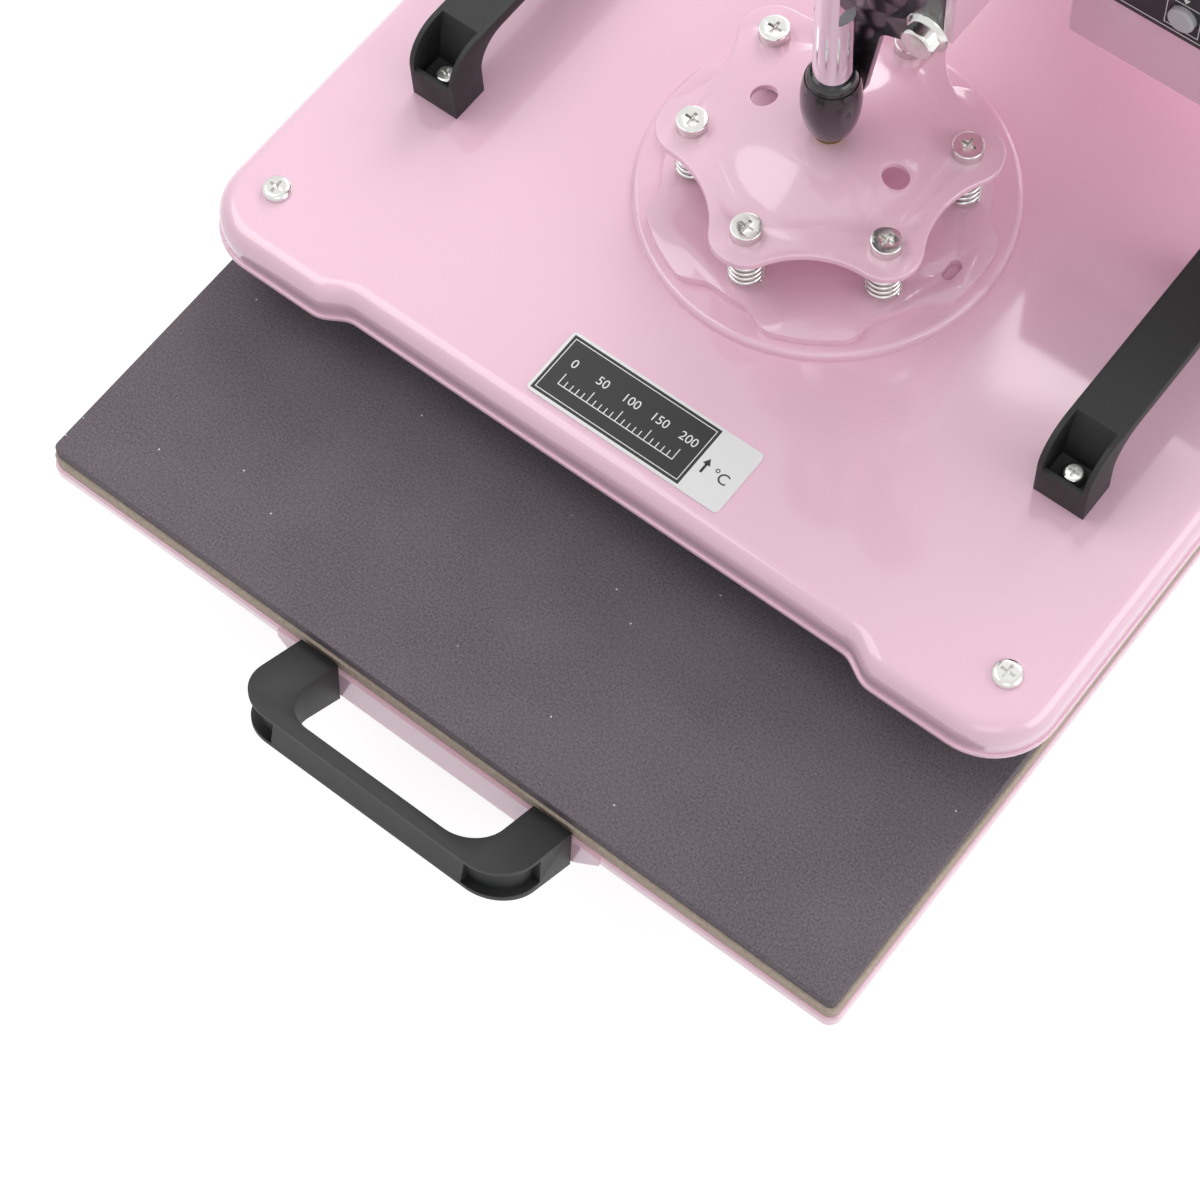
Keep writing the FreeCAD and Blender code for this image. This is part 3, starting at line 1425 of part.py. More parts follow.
def main():
    os.makedirs("parts", exist_ok=True)
    save("base_frame", build_base_frame())
    save("rubber_feet", *build_feet())
    save("column_post", build_column())
    save("column_bolts", *build_column_bolts())
    save("pivot_shaft", build_pivot())
    save("thrust_washer", build_thrust_washer())
    save("hub_nut", build_hub_nut())
    save("slide_rails", *build_slide_rails())
    save("drawer_tray", build_tray())
    save("heat_board", layer(layer_step, tray_top, board_top, 0.6))
    save("silicone_pad", layer(0, board_top, pad_top, 0.6))
    save("drawer_runners", *build_runners())
    save("drawer_handle", build_pull())
    save("drawer_screws", *build_drawer_screws())
    save("arm_channel", build_arm_channel())
    save("arm_floor", build_arm_floor())
    save("swing_hub", build_hub())
    save("front_plate", build_front_plate())
    save("flange_bolts", *build_flange_bolts())
    save("guide_block", build_guide_block())
    save("guide_bush", build_guide_bush())
    save("lever_bracket", build_bracket())
    save("pivot_carrier", build_carrier())
    save("pressure_knob", build_knob())
    save("pressure_screw", build_pressure_screw())
    save("lever_shaft", build_lever_shaft())
    save("lever_crank", build_crank())
    save("crank_pin", build_crank_pin())
    save("lever_frame", tilt_lever(upright_lever_frame()))
    save("lever_grip", tilt_lever(build_grip()))
    save("press_shaft", build_shaft())
    save("shaft_boot", build_boot())
    save("boot_washer", build_boot_washer())
    save("shaft_yoke", build_yoke())
    save("star_plate", build_star())
    save("star_screws", *build_star_screws())
    save("press_springs", *build_springs())
    save("spring_plate", build_spring_plate())
    save("mounting_disc", build_disc())
    save("top_cover", build_cover())
    save("cover_screws", *build_cover_screws())
    save("insulation_mat", build_insulation())
    save("heater_plate", build_heater_plate())
    save("heating_element", element_tube(element_radius - fit_clearance))
    save("thermostat", build_thermostat())
    save("side_handles", *[build_side_handle(x) for x in (-handle_x, handle_x)])
    save("handle_screws", *build_handle_screws())
    save("scale_plate", build_scale_plate())
    save("control_box", build_box())
    save("box_mounts", *build_box_mounts())
    save("box_back", build_box_back())
    save("control_panel", build_panel())
    save("display_window", build_display())
    for name, x in zip(("down_button", "set_button", "up_button"), button_places()):
        save(name, build_button(x))
    save("power_switch", build_switch())
    save("switch_frame", build_switch_frame())
    save("inlet_socket", build_socket())
    save("circuit_board", build_board())


main()
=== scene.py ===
import json
import math

import bmesh
import bpy
from mathutils import Matrix, Vector

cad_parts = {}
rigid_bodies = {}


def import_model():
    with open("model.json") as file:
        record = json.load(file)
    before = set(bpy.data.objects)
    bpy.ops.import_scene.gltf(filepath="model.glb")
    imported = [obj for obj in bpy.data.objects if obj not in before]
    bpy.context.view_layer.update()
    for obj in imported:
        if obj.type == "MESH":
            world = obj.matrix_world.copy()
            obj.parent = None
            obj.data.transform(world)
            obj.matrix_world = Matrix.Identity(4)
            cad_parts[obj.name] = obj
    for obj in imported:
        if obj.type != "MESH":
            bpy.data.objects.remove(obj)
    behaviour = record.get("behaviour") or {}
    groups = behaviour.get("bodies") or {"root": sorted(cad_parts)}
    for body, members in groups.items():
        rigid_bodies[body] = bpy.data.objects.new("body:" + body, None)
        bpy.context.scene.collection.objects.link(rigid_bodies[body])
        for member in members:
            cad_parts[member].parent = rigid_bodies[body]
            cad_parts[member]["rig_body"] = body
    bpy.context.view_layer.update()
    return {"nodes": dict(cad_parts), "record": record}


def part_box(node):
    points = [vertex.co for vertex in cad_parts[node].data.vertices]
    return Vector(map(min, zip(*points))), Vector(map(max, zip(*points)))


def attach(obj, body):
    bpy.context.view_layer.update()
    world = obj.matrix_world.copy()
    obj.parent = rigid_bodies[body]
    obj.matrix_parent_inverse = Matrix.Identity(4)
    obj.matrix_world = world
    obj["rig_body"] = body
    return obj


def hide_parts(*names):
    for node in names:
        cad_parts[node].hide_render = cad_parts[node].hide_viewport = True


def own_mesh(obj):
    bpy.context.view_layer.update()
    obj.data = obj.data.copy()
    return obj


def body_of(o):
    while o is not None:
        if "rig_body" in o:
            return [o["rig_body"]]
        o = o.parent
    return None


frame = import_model()
node_body = {name: body_of(piece)[0] for name, piece in frame["nodes"].items()}
node_slot = {part["node"]: part["material_slot"] for part in frame["record"]["subparts"]}
mm = 0.001


# Finishes
def tone(text):
    """A linear colour from sRGB hex digits."""
    levels = [int(text[i:i + 2], 16) / 255 for i in (0, 2, 4)]
    return tuple(v / 12.92 if v <= 0.04045 else ((v + 0.055) / 1.055) ** 2.4 for v in levels) + (1.0,)


class Level:
    """A node socket that takes part in sums."""

    def __init__(self, finish, socket):
        self.finish = finish
        self.socket = socket

    def sum_node(self, operation, first, second):
        return self.finish.add("ShaderNodeMath", {"operation": operation}, {0: first, 1: second}).out(0)

    def __add__(self, other):
        return self.sum_node("ADD", self, other)

    def __radd__(self, other):
        return self.sum_node("ADD", other, self)

    def __mul__(self, other):
        return self.sum_node("MULTIPLY", self, other)

    def __rmul__(self, other):
        return self.sum_node("MULTIPLY", other, self)

    def __gt__(self, other):
        return self.sum_node("GREATER_THAN", self, other)

    def __lt__(self, other):
        return self.sum_node("LESS_THAN", self, other)


class Added:
    """A shader node that was added to a finish."""

    def __init__(self, finish, node):
        self.finish = finish
        self.node = node

    def out(self, key):
        return Level(self.finish, self.node.outputs[key])


class Finish:
    """A material with one Principled shader."""

    def __init__(self, name, colour, **sockets):
        self.material = bpy.data.materials.new(name)
        self.material.use_nodes = True
        self.tree = self.material.node_tree
        self.shader = self.tree.nodes["Principled BSDF"]
        self.shader.inputs["Base Color"].default_value = tone(colour)
        self.material.diffuse_color = tone(colour)
        for key, value in sockets.items():
            self.shader.inputs[key.replace("_", " ")].default_value = value

    def add(self, kind, settings=None, sockets=None):
        node = self.tree.nodes.new(kind)
        for key, value in (settings or {}).items():
            setattr(node, key, value)
        for key, value in (sockets or {}).items():
            if isinstance(value, Level):
                self.tree.links.new(value.socket, node.inputs[key])
            else:
                node.inputs[key].default_value = value
        return Added(self, node)

    def place(self):
        return self.add("ShaderNodeTexCoord").out("Object")

    def noise(self, scale, detail=2.0, roughness=0.5):
        return self.add("ShaderNodeTexNoise", None, {
            "Vector": self.place(), "Scale": scale, "Detail": detail, "Roughness": roughness,
        }).out(0)

    def cells(self, scale, output):
        return self.add("ShaderNodeTexVoronoi", None, {"Vector": self.place(), "Scale": scale}).out(output)

    def between(self, factor, low, high):
        node = self.add("ShaderNodeMix", {"data_type": "RGBA"}, {"Factor": factor})
        for key, value in ((6, low), (7, high)):
            if isinstance(value, Level):
                self.tree.links.new(value.socket, node.node.inputs[key])
            else:
                node.node.inputs[key].default_value = tone(value)
        return node.out(2)

    def feed(self, name, level):
        self.tree.links.new(level.socket, self.shader.inputs[name])

    def bump(self, height, strength, distance):
        node = self.add("ShaderNodeBump", None, {
            "Height": height, "Strength": strength, "Distance": distance,
        })
        self.feed("Normal", node.out(0))


def stretched(finish, low, high, level):
    """Maps a level from low..high to 0..1 and holds it there."""
    return finish.add("ShaderNodeMapRange", None, {
        "Value": level, "From Min": low, "From Max": high, "To Min": 0.0, "To Max": 1.0,
    }).out(0)


def coated_paint(name, colour, roughness, coat, waves):
    paint = Finish(name, colour, Roughness=roughness, Coat_Weight=coat, Coat_Roughness=0.07, Coat_IOR=1.65)
    paint.bump(paint.noise(90.0, 2.0), waves, 0.0005)
    return paint


def bright_plate(name, colour, roughness, grain):
    plate = Finish(name, colour, Metallic=1.0)
    patches = plate.noise(900.0, 3.0)
    plate.feed("Roughness", patches * grain + (roughness - grain / 2))
    plate.bump(patches, 0.04, 0.00006)
    return plate


def moulded(name, colour, roughness, grain=0.25):
    plastic = Finish(name, colour, Roughness=roughness)
    plastic.bump(plastic.noise(2600.0, 2.0), grain, 0.00012)
    return plastic


pink_paint = coated_paint("pink powder coat", "F1C6D8", 0.32, 0.85, 0.05)
black_paint = coated_paint("black gloss coat", "141216", 0.28, 0.8, 0.008)
chrome = Finish("polished chrome", "E4E4E8", Metallic=1.0, Roughness=0.05)
zinc = bright_plate("bright zinc", "DEDDDA", 0.20, 0.08)
spring_steel = Finish("polished spring wire", "DADAD8", Metallic=1.0, Roughness=0.16)
black_zinc = bright_plate("black zinc", "2A2A2C", 0.36, 0.12)
plain_steel = bright_plate("machined steel", "A4A4A2", 0.32, 0.14)
heater_metal = bright_plate("coated aluminium", "8C8C8E", 0.40, 0.10)
brass = bright_plate("dull brass", "948450", 0.34, 0.10)
black_rubber = Finish("glossy black rubber", "131114", Roughness=0.24, Coat_Weight=0.55, Coat_Roughness=0.12)
foot_rubber = moulded("matt black rubber", "1C1C1C", 0.70)
black_plastic = moulded("grained black plastic", "1C1D1D", 0.56)
panel_film = moulded("black panel film", "1B1B20", 0.38, 0.05)
screen = Finish("dark display glass", "0B0E10", Roughness=0.08, Coat_Weight=0.6, Coat_Roughness=0.03)
digit_light = Finish("lit digit", "E0402C", Roughness=0.5)
digit_light.shader.inputs["Emission Color"].default_value = tone("FF3B20")
digit_light.shader.inputs["Emission Strength"].default_value = 1.0
button_grey = moulded("grey button plastic", "BFBFC0", 0.45, 0.08)
switch_red = Finish("red switch plastic", "A81414", Roughness=0.22, Coat_Weight=0.4)
white_print = moulded("white print", "EDEDED", 0.45, 0.02)
# Black print, also used as painted shade for the cross recesses of the box screws
black_print_and_recess_shade = moulded("black print and recess shade", "232323", 0.42, 0.02)
mat_white = moulded("ceramic fibre", "DAD5C6", 0.9, 0.5)
board_green = Finish("green lacquer board", "14492A", Roughness=0.35)


def sponge_finish():
    """Silicone sponge: a fine mottle and sparse pale specks."""
    sponge = Finish("speckled silicone sponge", "665D62", Roughness=0.82)
    fine = sponge.noise(1100.0, 3.0, 0.7)
    wide = sponge.noise(24.0, 2.0)
    mottle = stretched(sponge, 0.32, 0.68, fine)
    ground = sponge.between(mottle, "484146", "837880")
    drift = sponge.between(stretched(sponge, 0.35, 0.65, wide), "5A5157", "70666C")
    mixed = sponge.add("ShaderNodeMix", {"data_type": "RGBA"}, {"Factor": 0.30})
    sponge.tree.links.new(ground.socket, mixed.node.inputs[6])
    sponge.tree.links.new(drift.socket, mixed.node.inputs[7])
    near = sponge.cells(150.0, "Distance") < 0.055
    pick = sponge.cells(150.0, "Color")
    red = sponge.add("ShaderNodeSeparateColor", None, {"Color": pick}).out(0)
    speck = near * (red > 0.80)
    coloured = sponge.between(speck, mixed.out(2), "E8E2E4")
    sponge.feed("Base Color", coloured)
    sponge.bump(fine, 0.5, 0.0003)
    return sponge


def fibre_finish():
    board = Finish("pressed beige board", "BDAD9C", Roughness=0.85)
    fibres = stretched(board, 0.3, 0.7, board.noise(700.0, 4.0, 0.7))
    board.feed("Base Color", board.between(fibres, "AE9D8D", "CBBDAD"))
    board.bump(fibres, 0.4, 0.0002)
    return board


sponge = sponge_finish()
beige_board = fibre_finish()

node_finish = {
    "base_frame": pink_paint, "rubber_feet": foot_rubber, "column_post": pink_paint,
    "column_bolts": black_zinc, "pivot_shaft": plain_steel, "thrust_washer": brass,
    "hub_nut": black_zinc, "slide_rails": zinc, "drawer_tray": pink_paint,
    "heat_board": beige_board, "silicone_pad": sponge, "drawer_runners": black_plastic,
    "drawer_handle": black_plastic, "drawer_screws": zinc, "arm_channel": pink_paint,
    "arm_floor": pink_paint, "swing_hub": pink_paint, "front_plate": black_paint,
    "flange_bolts": zinc, "guide_block": black_paint, "guide_bush": brass,
    "lever_bracket": pink_paint, "pivot_carrier": plain_steel, "control_box": pink_paint,
    "box_mounts": black_zinc, "box_back": pink_paint, "control_panel": panel_film,
    "display_window": screen, "switch_frame": black_plastic, "inlet_socket": black_plastic,
    "circuit_board": board_green, "pressure_knob": black_plastic, "pressure_screw": zinc,
    "lever_shaft": zinc, "lever_crank": plain_steel, "crank_pin": plain_steel,
    "lever_frame": pink_paint, "lever_grip": foot_rubber, "press_shaft": chrome,
    "shaft_boot": black_rubber, "boot_washer": brass, "shaft_yoke": plain_steel,
    "star_plate": pink_paint, "press_springs": spring_steel, "star_screws": zinc,
    "spring_plate": pink_paint, "mounting_disc": pink_paint, "top_cover": pink_paint,
    "cover_screws": zinc, "insulation_mat": mat_white, "heater_plate": heater_metal,
    "heating_element": plain_steel, "thermostat": plain_steel, "side_handles": black_plastic,
    "handle_screws": zinc, "scale_plate": white_print, "down_button": button_grey,
    "set_button": button_grey, "up_button": button_grey, "power_switch": switch_red,
}
for name, finish in node_finish.items():
    piece = frame["nodes"][name]
    piece.data.materials.clear()
    piece.data.materials.append(finish.material)


# Building pieces
def finished(name, work, finish, body, slot, *nodes):
    """Turns a bmesh into a piece that rides a body and stands for CAD nodes."""
    mesh = bpy.data.meshes.new(name)
    work.to_mesh(mesh)
    work.free()
    piece = bpy.data.objects.new(name, mesh)
    bpy.context.scene.collection.objects.link(piece)
    mesh.materials.append(finish.material)
    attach(piece, body)
    if nodes:
        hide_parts(*nodes)
    return piece


def smooth_by_angle(work, limit_deg):
    limit = math.radians(limit_deg)
    for face in work.faces:
        face.smooth = True
    for edge in work.edges:
        edge.smooth = len(edge.link_faces) == 2 and edge.calc_face_angle(0.0) < limit


def copied(node):
    """The node's mesh with its loose triangles joined and its flat faces made whole."""
    work = bmesh.new()
    work.from_mesh(frame["nodes"][node].data)
    bmesh.ops.remove_doubles(work, verts=work.verts, dist=1e-6)
    bmesh.ops.dissolve_limit(work, angle_limit=math.radians(0.3), verts=work.verts, edges=work.edges)
    return work


def softened(node, width, corner_deg=35.0, segments=2):
    """A copy of a CAD node with its sharp corners rounded over."""
    work = copied(node)
    corners = [e for e in work.edges if len(e.link_faces) == 2
               and e.calc_face_angle(0.0) > math.radians(corner_deg)]
    bmesh.ops.bevel(work, geom=corners, offset=width, offset_type="OFFSET", segments=segments,
                    profile=0.5, affect="EDGES", clamp_overlap=True, material=-1)
    bmesh.ops.remove_doubles(work, verts=work.verts, dist=2e-6)
    smooth_by_angle(work, 32.0)
    finished(node + "_dressed", work, node_finish[node], node_body[node], node_slot[node], node)


# Width of the rounded corners of each dressed node, in millimetres
corner_widths = {
    "drawer_handle": 0.6, "side_handles": 0.6, "front_plate": 0.6, "arm_channel": 0.6,
    "guide_block": 0.5, "lever_bracket": 0.6, "lever_frame": 0.8, "base_frame": 1.2,
    "column_post": 0.8, "control_panel": 0.25, "box_back": 0.3, "drawer_tray": 0.3,
    "spring_plate": 0.9, "star_plate": 0.25, "column_bolts": 0.4, "hub_nut": 0.8,
    "flange_bolts": 0.4, "star_screws": 0.25, "switch_frame": 0.5, "inlet_socket": 0.5,
    "power_switch": 0.6, "pivot_carrier": 0.5, "shaft_yoke": 0.5, "slide_rails": 0.4,
    "drawer_runners": 0.6, "swing_hub": 0.8, "thrust_washer": 0.3, "arm_floor": 0.5,
}
for node, width in corner_widths.items():
    softened(node, width * mm)


class Marks:
    """Bars, letters and signs laid on a flat face, drawn as (right, up) in millimetres."""

    def __init__(self, corner, right, up):
        out = Vector(right).cross(Vector(up))
        axes = Matrix((right, up, out)).transposed().to_4x4()
        self.where = Matrix.Translation(Vector(corner) * mm) @ axes @ Matrix.Scale(mm, 4)
        self.work = bmesh.new()

    def bar(self, left, right, low, high, depth=0.12):
        size = Matrix.Diagonal((right - left, high - low, depth, 1.0))
        middle = Matrix.Translation(((left + right) / 2, (low + high) / 2, depth / 2))
        bmesh.ops.create_cube(self.work, size=1.0, matrix=self.where @ middle @ size)

    def ring(self, left, right, low, high, width, depth=0.12):
        self.bar(left, right, low, low + width, depth)
        self.bar(left, right, high - width, high, depth)
        self.bar(left, left + width, low + width, high - width, depth)
        self.bar(right - width, right, low + width, high - width, depth)

    def sign(self, right, up, radius, corners, turn_deg=0.0, depth=0.12):
        turn = Matrix.Rotation(math.radians(turn_deg), 4, "Z")
        middle = Matrix.Translation((right, up, depth / 2))
        bmesh.ops.create_cone(self.work, cap_ends=True, segments=corners, radius1=radius, radius2=radius,
                              depth=depth, matrix=self.where @ middle @ turn)

    def letters(self, text, size, right, up, depth=0.12):
        curve = bpy.data.curves.new(text, "FONT")
        curve.body = text
        curve.size = size
        curve.extrude = depth / 2
        curve.align_x = "CENTER"
        curve.align_y = "CENTER"
        drawn = bpy.data.objects.new(text, curve)
        bpy.context.scene.collection.objects.link(drawn)
        bpy.context.view_layer.update()
        mesh = bpy.data.meshes.new_from_object(drawn.evaluated_get(bpy.context.evaluated_depsgraph_get()))
        bpy.data.objects.remove(drawn)
        piece = bmesh.new()
        piece.from_mesh(mesh)
        bmesh.ops.remove_doubles(piece, verts=piece.verts, dist=1e-4)
        bmesh.ops.transform(piece, verts=piece.verts, matrix=self.where @ Matrix.Translation(
            (right, up, depth / 2)))
        piece.to_mesh(mesh)
        piece.free()
        self.work.from_mesh(mesh)
        bpy.data.meshes.remove(mesh)

    def done(self, name, finish, body, slot):
        finished(name, self.work, finish, body, slot)


def plate_scale():
    """The printed plate on the cover: a dark field with a graduated scale and a pale field."""
    low, high = (Vector(c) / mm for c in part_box("scale_plate"))
    wide, deep = high.x - low.x, high.y - low.y
    corner = (low.x, low.y, high.z)
    right, up = (1, 0, 0), (0, 1, 0)
    field_share = 0.79
    rim, line_inset, line_width = 1.3, 1.2, 0.35
    split = wide * field_share
    field = Marks(corner, right, up)
    field.bar(rim, split, rim, deep - rim, 0.06)
    field.done("scale_field", black_print_and_recess_shade, "platen", "panel_film")

    marks = Marks(corner, right, up)
    ink = 0.1
    edge = rim + line_inset
    marks.ring(edge, split - line_inset, edge, deep - edge, line_width, ink)
    first, last = 9.0, split - 8.0
    foot, base_line, half_tick = 8.5, 0.4, 0.2
    ticks, ticks_per_label = 20, 5
    long_tick, short_tick = 5.0, 2.6
    for k in range(ticks + 1):
        x = first + (last - first) * k / ticks
        length = short_tick if k % ticks_per_label else long_tick
        marks.bar(x - half_tick, x + half_tick, foot, foot + length, ink)
    marks.bar(first - half_tick, last + half_tick, foot - base_line, foot, ink)
    labels = ("0", "50", "100", "150", "200")
    label_size, label_height = 5.4, 18.6
    for k, text in enumerate(labels):
        x = first + (last - first) * k / (len(labels) - 1)
        marks.letters(text, label_size, x, label_height, ink)
    marks.done("scale_marks", white_print, "platen", "bare_plate")

    unit = Marks(corner, right, up)
    unit_ink, unit_size, unit_shift = 0.08, 6.6, 1.6
    unit.letters("\u00b0C", unit_size, (split + wide) / 2 + unit_shift, deep * 0.42, unit_ink)
    arrow, half_stem, arrow_head = split + 3.6, 0.5, 1.9
    unit.bar(arrow - half_stem, arrow + half_stem, deep * 0.34, deep * 0.48, unit_ink)
    unit.sign(arrow, deep * 0.50, arrow_head, 3, 0.0, unit_ink)
    unit.done("scale_unit", black_print_and_recess_shade, "platen", "panel_film")


segment_names = {"0": "abcdef", "1": "bc", "6": "acdefg", "8": "abcdefg"}


def lit_digit(marks, digit, left, low, wide, high, bar):
    """A seven-segment digit drawn from its lower left corner."""
    half = high / 2
    upper = (half + bar / 3, high - bar / 3)
    lower = (bar / 3, half - bar / 3)
    places = {
        "a": (bar, wide - bar, high - bar, high),
        "b": (wide - bar, wide, *upper),
        "c": (wide - bar, wide, *lower),
        "d": (bar, wide - bar, 0, bar),
        "e": (0, bar, *lower),
        "f": (0, bar, *upper),
        "g": (bar, wide - bar, half - bar / 2, half + bar / 2),
    }
    for name in segment_names[digit]:
        x0, x1, z0, z1 = places[name]
        marks.bar(left + x0, left + x1, low + z0, low + z1, 0.15)


def panel_print():
    """The digits on the display and the frames, signs and lamps round it."""
    low, high = (Vector(c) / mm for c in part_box("display_window"))
    face, panel_top = (Vector(c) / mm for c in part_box("control_panel"))
    right, up = (1, 0, 0), (0, 0, 1)
    wide = high.x - low.x
    digits = Marks((low.x, low.y, low.z), right, up)
    digit_foot, digit_wide, digit_high, segment = 5.0, 4.6, 10.0, 1.1
    for digit, left in (("1", 5.0), ("8", 11.0), ("0", 17.0), ("6", wide - 15.5), ("0", wide - 9.5)):
        lit_digit(digits, digit, left, digit_foot, digit_wide, digit_high, segment)
    digits.done("display_digits", digit_light, "arm", "display_glass")

    marks = Marks((face.x, face.y, face.z), right, up)
    across, tall = panel_top.x - face.x, panel_top.z - face.z
    side_inset, end_inset = 8.0, 2.4
    marks.ring(side_inset, across - side_inset, end_inset, tall - end_inset, 0.35)
    middle = (low.x + high.x) / 2 - face.x
    display_low, display_high = low.z - face.z, high.z - face.z
    reach, gap = wide / 2, 2.5
    marks.ring(middle - reach - gap, middle + reach + gap, display_low - gap, display_high + gap, 0.5)
    sign_lift, sign_radius = 4.2, 1.7
    frame_reach, frame_gap = 7.2, 1.8
    for node, corners, turn in (("down_button", 3, 180.0), ("set_button", 24, 0.0), ("up_button", 3, 0.0)):
        start, end = (Vector(c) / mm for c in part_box(node))
        x = (start.x + end.x) / 2 - face.x
        foot, head = start.z - face.z, end.z - face.z
        marks.sign(x, head + sign_lift, sign_radius, corners, turn)
        marks.ring(x - frame_reach, x + frame_reach, foot - frame_gap, head + frame_gap, 0.3)
    lamps, lamp_shift, lamp_foot, lamp_step, lamp_radius = 3, 10.0, 4.0, 6.0, 1.2
    for k in range(lamps):
        marks.sign(middle + reach + lamp_shift, display_low + lamp_foot + lamp_step * k, lamp_radius, 24)
    marks.done("panel_marks", white_print, "arm", "bare_plate")


def bead(name, middle, radius, width, body):
    """A weld bead that runs round a tube and ripples along its length."""
    work = bmesh.new()
    start = Matrix.Translation((radius, 0, 0)) @ Matrix.Rotation(math.pi / 2, 4, "X")
    ring = bmesh.ops.create_circle(work, segments=10, radius=width, matrix=start)
    loops, ripples, ripple_depth = 240, 46, 0.16
    bmesh.ops.spin(work, geom=list({e for v in ring["verts"] for e in v.link_edges}) + ring["verts"],
                   cent=(0, 0, 0), axis=(0, 0, 1), dvec=(0, 0, 0), angle=2 * math.pi, steps=loops,
                   use_merge=True, use_duplicate=False)
    bmesh.ops.remove_doubles(work, verts=work.verts, dist=1e-6)
    for vert in work.verts:
        turn = math.atan2(vert.co.y, vert.co.x)
        swell = 1.0 + ripple_depth * math.sin(turn * ripples)
        axis = Vector((math.cos(turn), math.sin(turn), 0)) * radius
        vert.co = axis + (vert.co - axis) * swell
    bmesh.ops.recalc_face_normals(work, faces=work.faces)
    for face in work.faces:
        face.smooth = True
    bmesh.ops.translate(work, verts=work.verts, vec=Vector(middle))
    finished(name, work, pink_paint, body, "pink_paint")


def corner_screws(name, node, inset, radius, height, rear):
    """Flat cross-head screws in the four corners of the front or rear face of a flat node, with their cross
    recesses drawn as black bars of painted shade.
    """
    low, high = (Vector(c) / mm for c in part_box(node))
    corner = (high.x, high.y, low.z) if rear else (low.x, low.y, low.z)
    right = (-1, 0, 0) if rear else (1, 0, 0)
    wide, tall = high.x - low.x, high.z - low.z
    heads = Marks(corner, right, (0, 0, 1))
    # The cross recesses are black bars set just proud of the heads: painted shade in place of real holes
    recess_shade = Marks(corner, right, (0, 0, 1))
    long_half, short_half = radius * 0.55, radius * 0.11
    recess_height = height + 0.03
    for x in (inset, wide - inset):
        for z in (inset, tall - inset):
            heads.sign(x, z, radius, 28, 0.0, height)
            recess_shade.bar(x - long_half, x + long_half, z - short_half, z + short_half, recess_height)
            recess_shade.bar(x - short_half, x + short_half, z - long_half, z + long_half, recess_height)
    # The black cross bars are painted recess shade
    recess_shade.done(name + "_recess_shade", black_print_and_recess_shade, "arm", "black_zinc")
    bmesh.ops.bevel(heads.work, geom=[e for e in heads.work.edges if e.calc_face_angle(0.0) > 1.0],
                    offset=0.35 * mm, offset_type="OFFSET", segments=2, profile=0.5, affect="EDGES",
                    material=-1, clamp_overlap=True)
    heads.done(name, zinc, "arm", "zinc_steel")


def squashed_springs():
    """The coil springs as one smoothed piece that rides the ram."""
    work = bmesh.new()
    work.from_mesh(frame["nodes"]["press_springs"].data)
    bmesh.ops.remove_doubles(work, verts=work.verts, dist=1e-6)
    smooth_by_angle(work, 50.0)
    springs = finished("springs_between_plates", work, spring_steel, "ram", node_slot["press_springs"],
                       "press_springs")
    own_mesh(springs)


squashed_springs()
plate_scale()
panel_print()
corner_screws("back_screws", "box_back", inset=6.5, radius=2.9, height=1.3, rear=True)
corner_screws("panel_screws", "control_panel", inset=4.6, radius=1.9, height=0.7, rear=False)
column_y = 225.0 * mm
column_flange = 8.0 * mm
flange_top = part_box("column_post")[0][2] + column_flange
arm_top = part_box("arm_channel")[1][2]
bead("column_weld", (0.0, column_y, flange_top), radius=35.0 * mm, width=2.6 * mm, body="base")
bead("hub_weld", (0.0, column_y, arm_top), radius=30.0 * mm, width=2.2 * mm, body="arm")


# Camera, light and floor
def aimed(obj, origin, target):
    obj.matrix_world = Matrix.Translation(origin) @ (
        (Vector(target) - Vector(origin)).to_track_quat("-Z", "Y").to_matrix().to_4x4())


def photo_camera():
    azimuth, elevation, roll = (math.radians(v) for v in (42.6, 63.93, -5.07))
    distance = 1186.63 * mm
    aim = Vector((23.61, -174.82, 78.2)) * mm
    sensor_width, focal_pixels, photo_pixels = 36.0, 3143.84, 1200
    back = Vector((math.sin(azimuth) * math.cos(elevation), -math.cos(azimuth) * math.cos(elevation),
                   math.sin(elevation)))
    right = (-back).cross(Vector((0, 0, 1))).normalized()
    up = right.cross(-back)
    side = right * math.cos(roll) + up * math.sin(roll)
    top = up * math.cos(roll) - right * math.sin(roll)
    lens = bpy.data.cameras.new("photo camera")
    lens.sensor_width = sensor_width
    lens.lens = focal_pixels / photo_pixels * sensor_width
    lens.clip_start = 0.05
    camera = bpy.data.objects.new("photo camera", lens)
    camera.matrix_world = Matrix((
        (side.x, top.x, back.x, 0), (side.y, top.y, back.y, 0), (side.z, top.z, back.z, 0), (0, 0, 0, 1),
    ))
    camera.matrix_world.translation = aim + back * distance
    bpy.context.scene.collection.objects.link(camera)
    bpy.context.scene.camera = camera


def softbox(name, origin, target, width, height, power):
    light = bpy.data.lights.new(name, "AREA")
    light.shape = "RECTANGLE"
    light.size = width
    light.size_y = height
    light.energy = power
    lamp = bpy.data.objects.new(name, light)
    bpy.context.scene.collection.objects.link(lamp)
    aimed(lamp, Vector(origin), target)
    return lamp


def seen_directly(tree):
    """1 for rays that see a surface as the camera, a mirror or a pane does."""
    path = tree.nodes.new("ShaderNodeLightPath")
    either = tree.nodes.new("ShaderNodeMath")
    either.operation = "MAXIMUM"
    third = tree.nodes.new("ShaderNodeMath")
    third.operation = "MAXIMUM"
    tree.links.new(path.outputs["Is Camera Ray"], either.inputs[0])
    tree.links.new(path.outputs["Is Glossy Ray"], either.inputs[1])
    tree.links.new(either.outputs[0], third.inputs[0])
    tree.links.new(path.outputs["Is Transmission Ray"], third.inputs[1])
    return third.outputs[0]


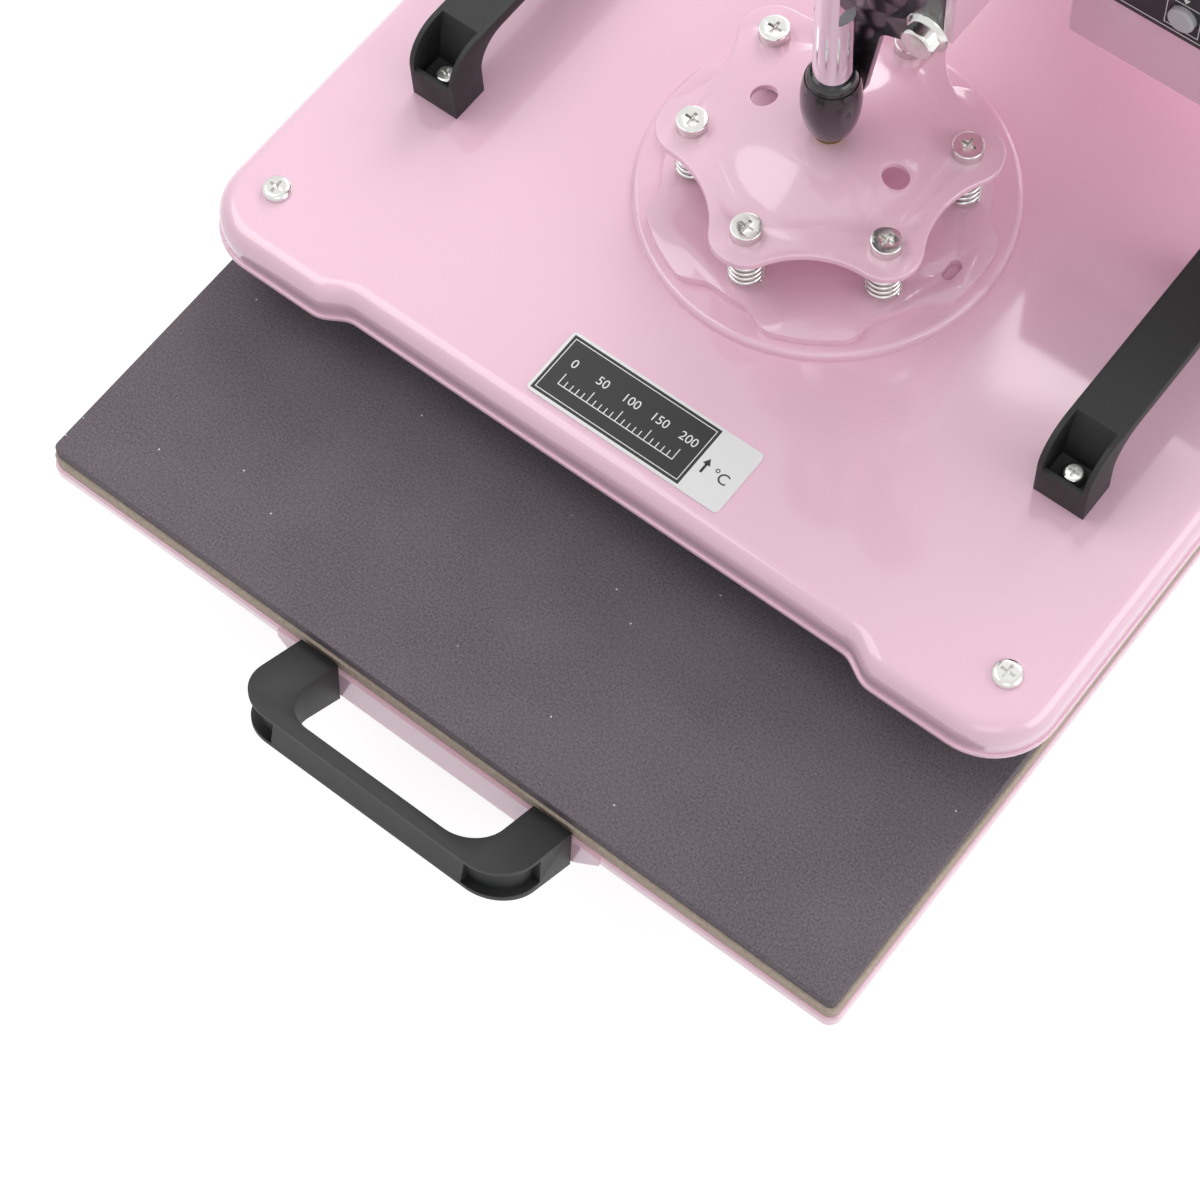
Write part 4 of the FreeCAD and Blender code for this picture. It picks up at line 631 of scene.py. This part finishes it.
def studio_world():
    world = bpy.data.worlds.new("studio")
    bpy.context.scene.world = world
    world.use_nodes = True
    tree = world.node_tree
    tree.nodes.clear()
    out = tree.nodes.new("ShaderNodeOutputWorld")
    mix = tree.nodes.new("ShaderNodeMixShader")
    soft = tree.nodes.new("ShaderNodeBackground")
    soft.inputs["Color"].default_value = tone("F4F4F6")
    soft.inputs["Strength"].default_value = 0.56
    white = tree.nodes.new("ShaderNodeBackground")
    white.inputs["Color"].default_value = (1, 1, 1, 1)
    white.inputs["Strength"].default_value = 1.0
    tree.links.new(seen_directly(tree), mix.inputs[0])
    tree.links.new(soft.outputs[0], mix.inputs[1])
    tree.links.new(white.outputs[0], mix.inputs[2])
    tree.links.new(mix.outputs[0], out.inputs[0])


def studio_floor():
    work = bmesh.new()
    bmesh.ops.create_grid(work, x_segments=1, y_segments=1, size=12.0)
    mesh = bpy.data.meshes.new("floor")
    work.to_mesh(mesh)
    work.free()
    floor = bpy.data.objects.new("floor", mesh)
    floor.location.z = -0.5 * mm
    bpy.context.scene.collection.objects.link(floor)
    material = bpy.data.materials.new("white floor")
    material.use_nodes = True
    tree = material.node_tree
    shader = tree.nodes["Principled BSDF"]
    shader.inputs["Base Color"].default_value = (0.65, 0.65, 0.65, 1)
    shader.inputs["Roughness"].default_value = 0.9
    shader.inputs["Specular IOR Level"].default_value = 0.0
    shown = tree.nodes.new("ShaderNodeBsdfDiffuse")
    shown.inputs["Color"].default_value = (0.45, 0.45, 0.45, 1)
    glow = tree.nodes.new("ShaderNodeEmission")
    glow.inputs["Color"].default_value = (1, 1, 1, 1)
    glow.inputs["Strength"].default_value = 0.80
    total = tree.nodes.new("ShaderNodeAddShader")
    mix = tree.nodes.new("ShaderNodeMixShader")
    tree.links.new(shown.outputs[0], total.inputs[0])
    tree.links.new(glow.outputs[0], total.inputs[1])
    tree.links.new(seen_directly(tree), mix.inputs[0])
    tree.links.new(shader.outputs[0], mix.inputs[1])
    tree.links.new(total.outputs[0], mix.inputs[2])
    tree.links.new(mix.outputs[0], tree.nodes["Material Output"].inputs["Surface"])
    mesh.materials.append(material)


photo_camera()
studio_world()
studio_floor()
# Place, aim, width and height in metres, power in watts
key = softbox("key softbox", (-1.3, -0.35, 2.2), (0, -0.1, 0.1), 1.5, 1.5, 14.0)
back = softbox("back softbox", (-0.2, 1.9, 1.3), (0, 0, 0.1), 2.0, 1.2, 31.0)
side = softbox("side softbox", (1.6, 0.2, 0.8), (0.1, 0, 0.1), 1.2, 1.0, 8.0)
fill = softbox("front softbox", (0.9, -1.3, 1.6), (0, -0.1, 0.1), 1.0, 0.9, 3.0)
card = softbox("reflected card", (-0.2, 0.95, 1.62), (0.1, 0.05, 0.1), 0.36, 0.30, 1.6)

bpy.context.scene.view_settings.view_transform = "Standard"
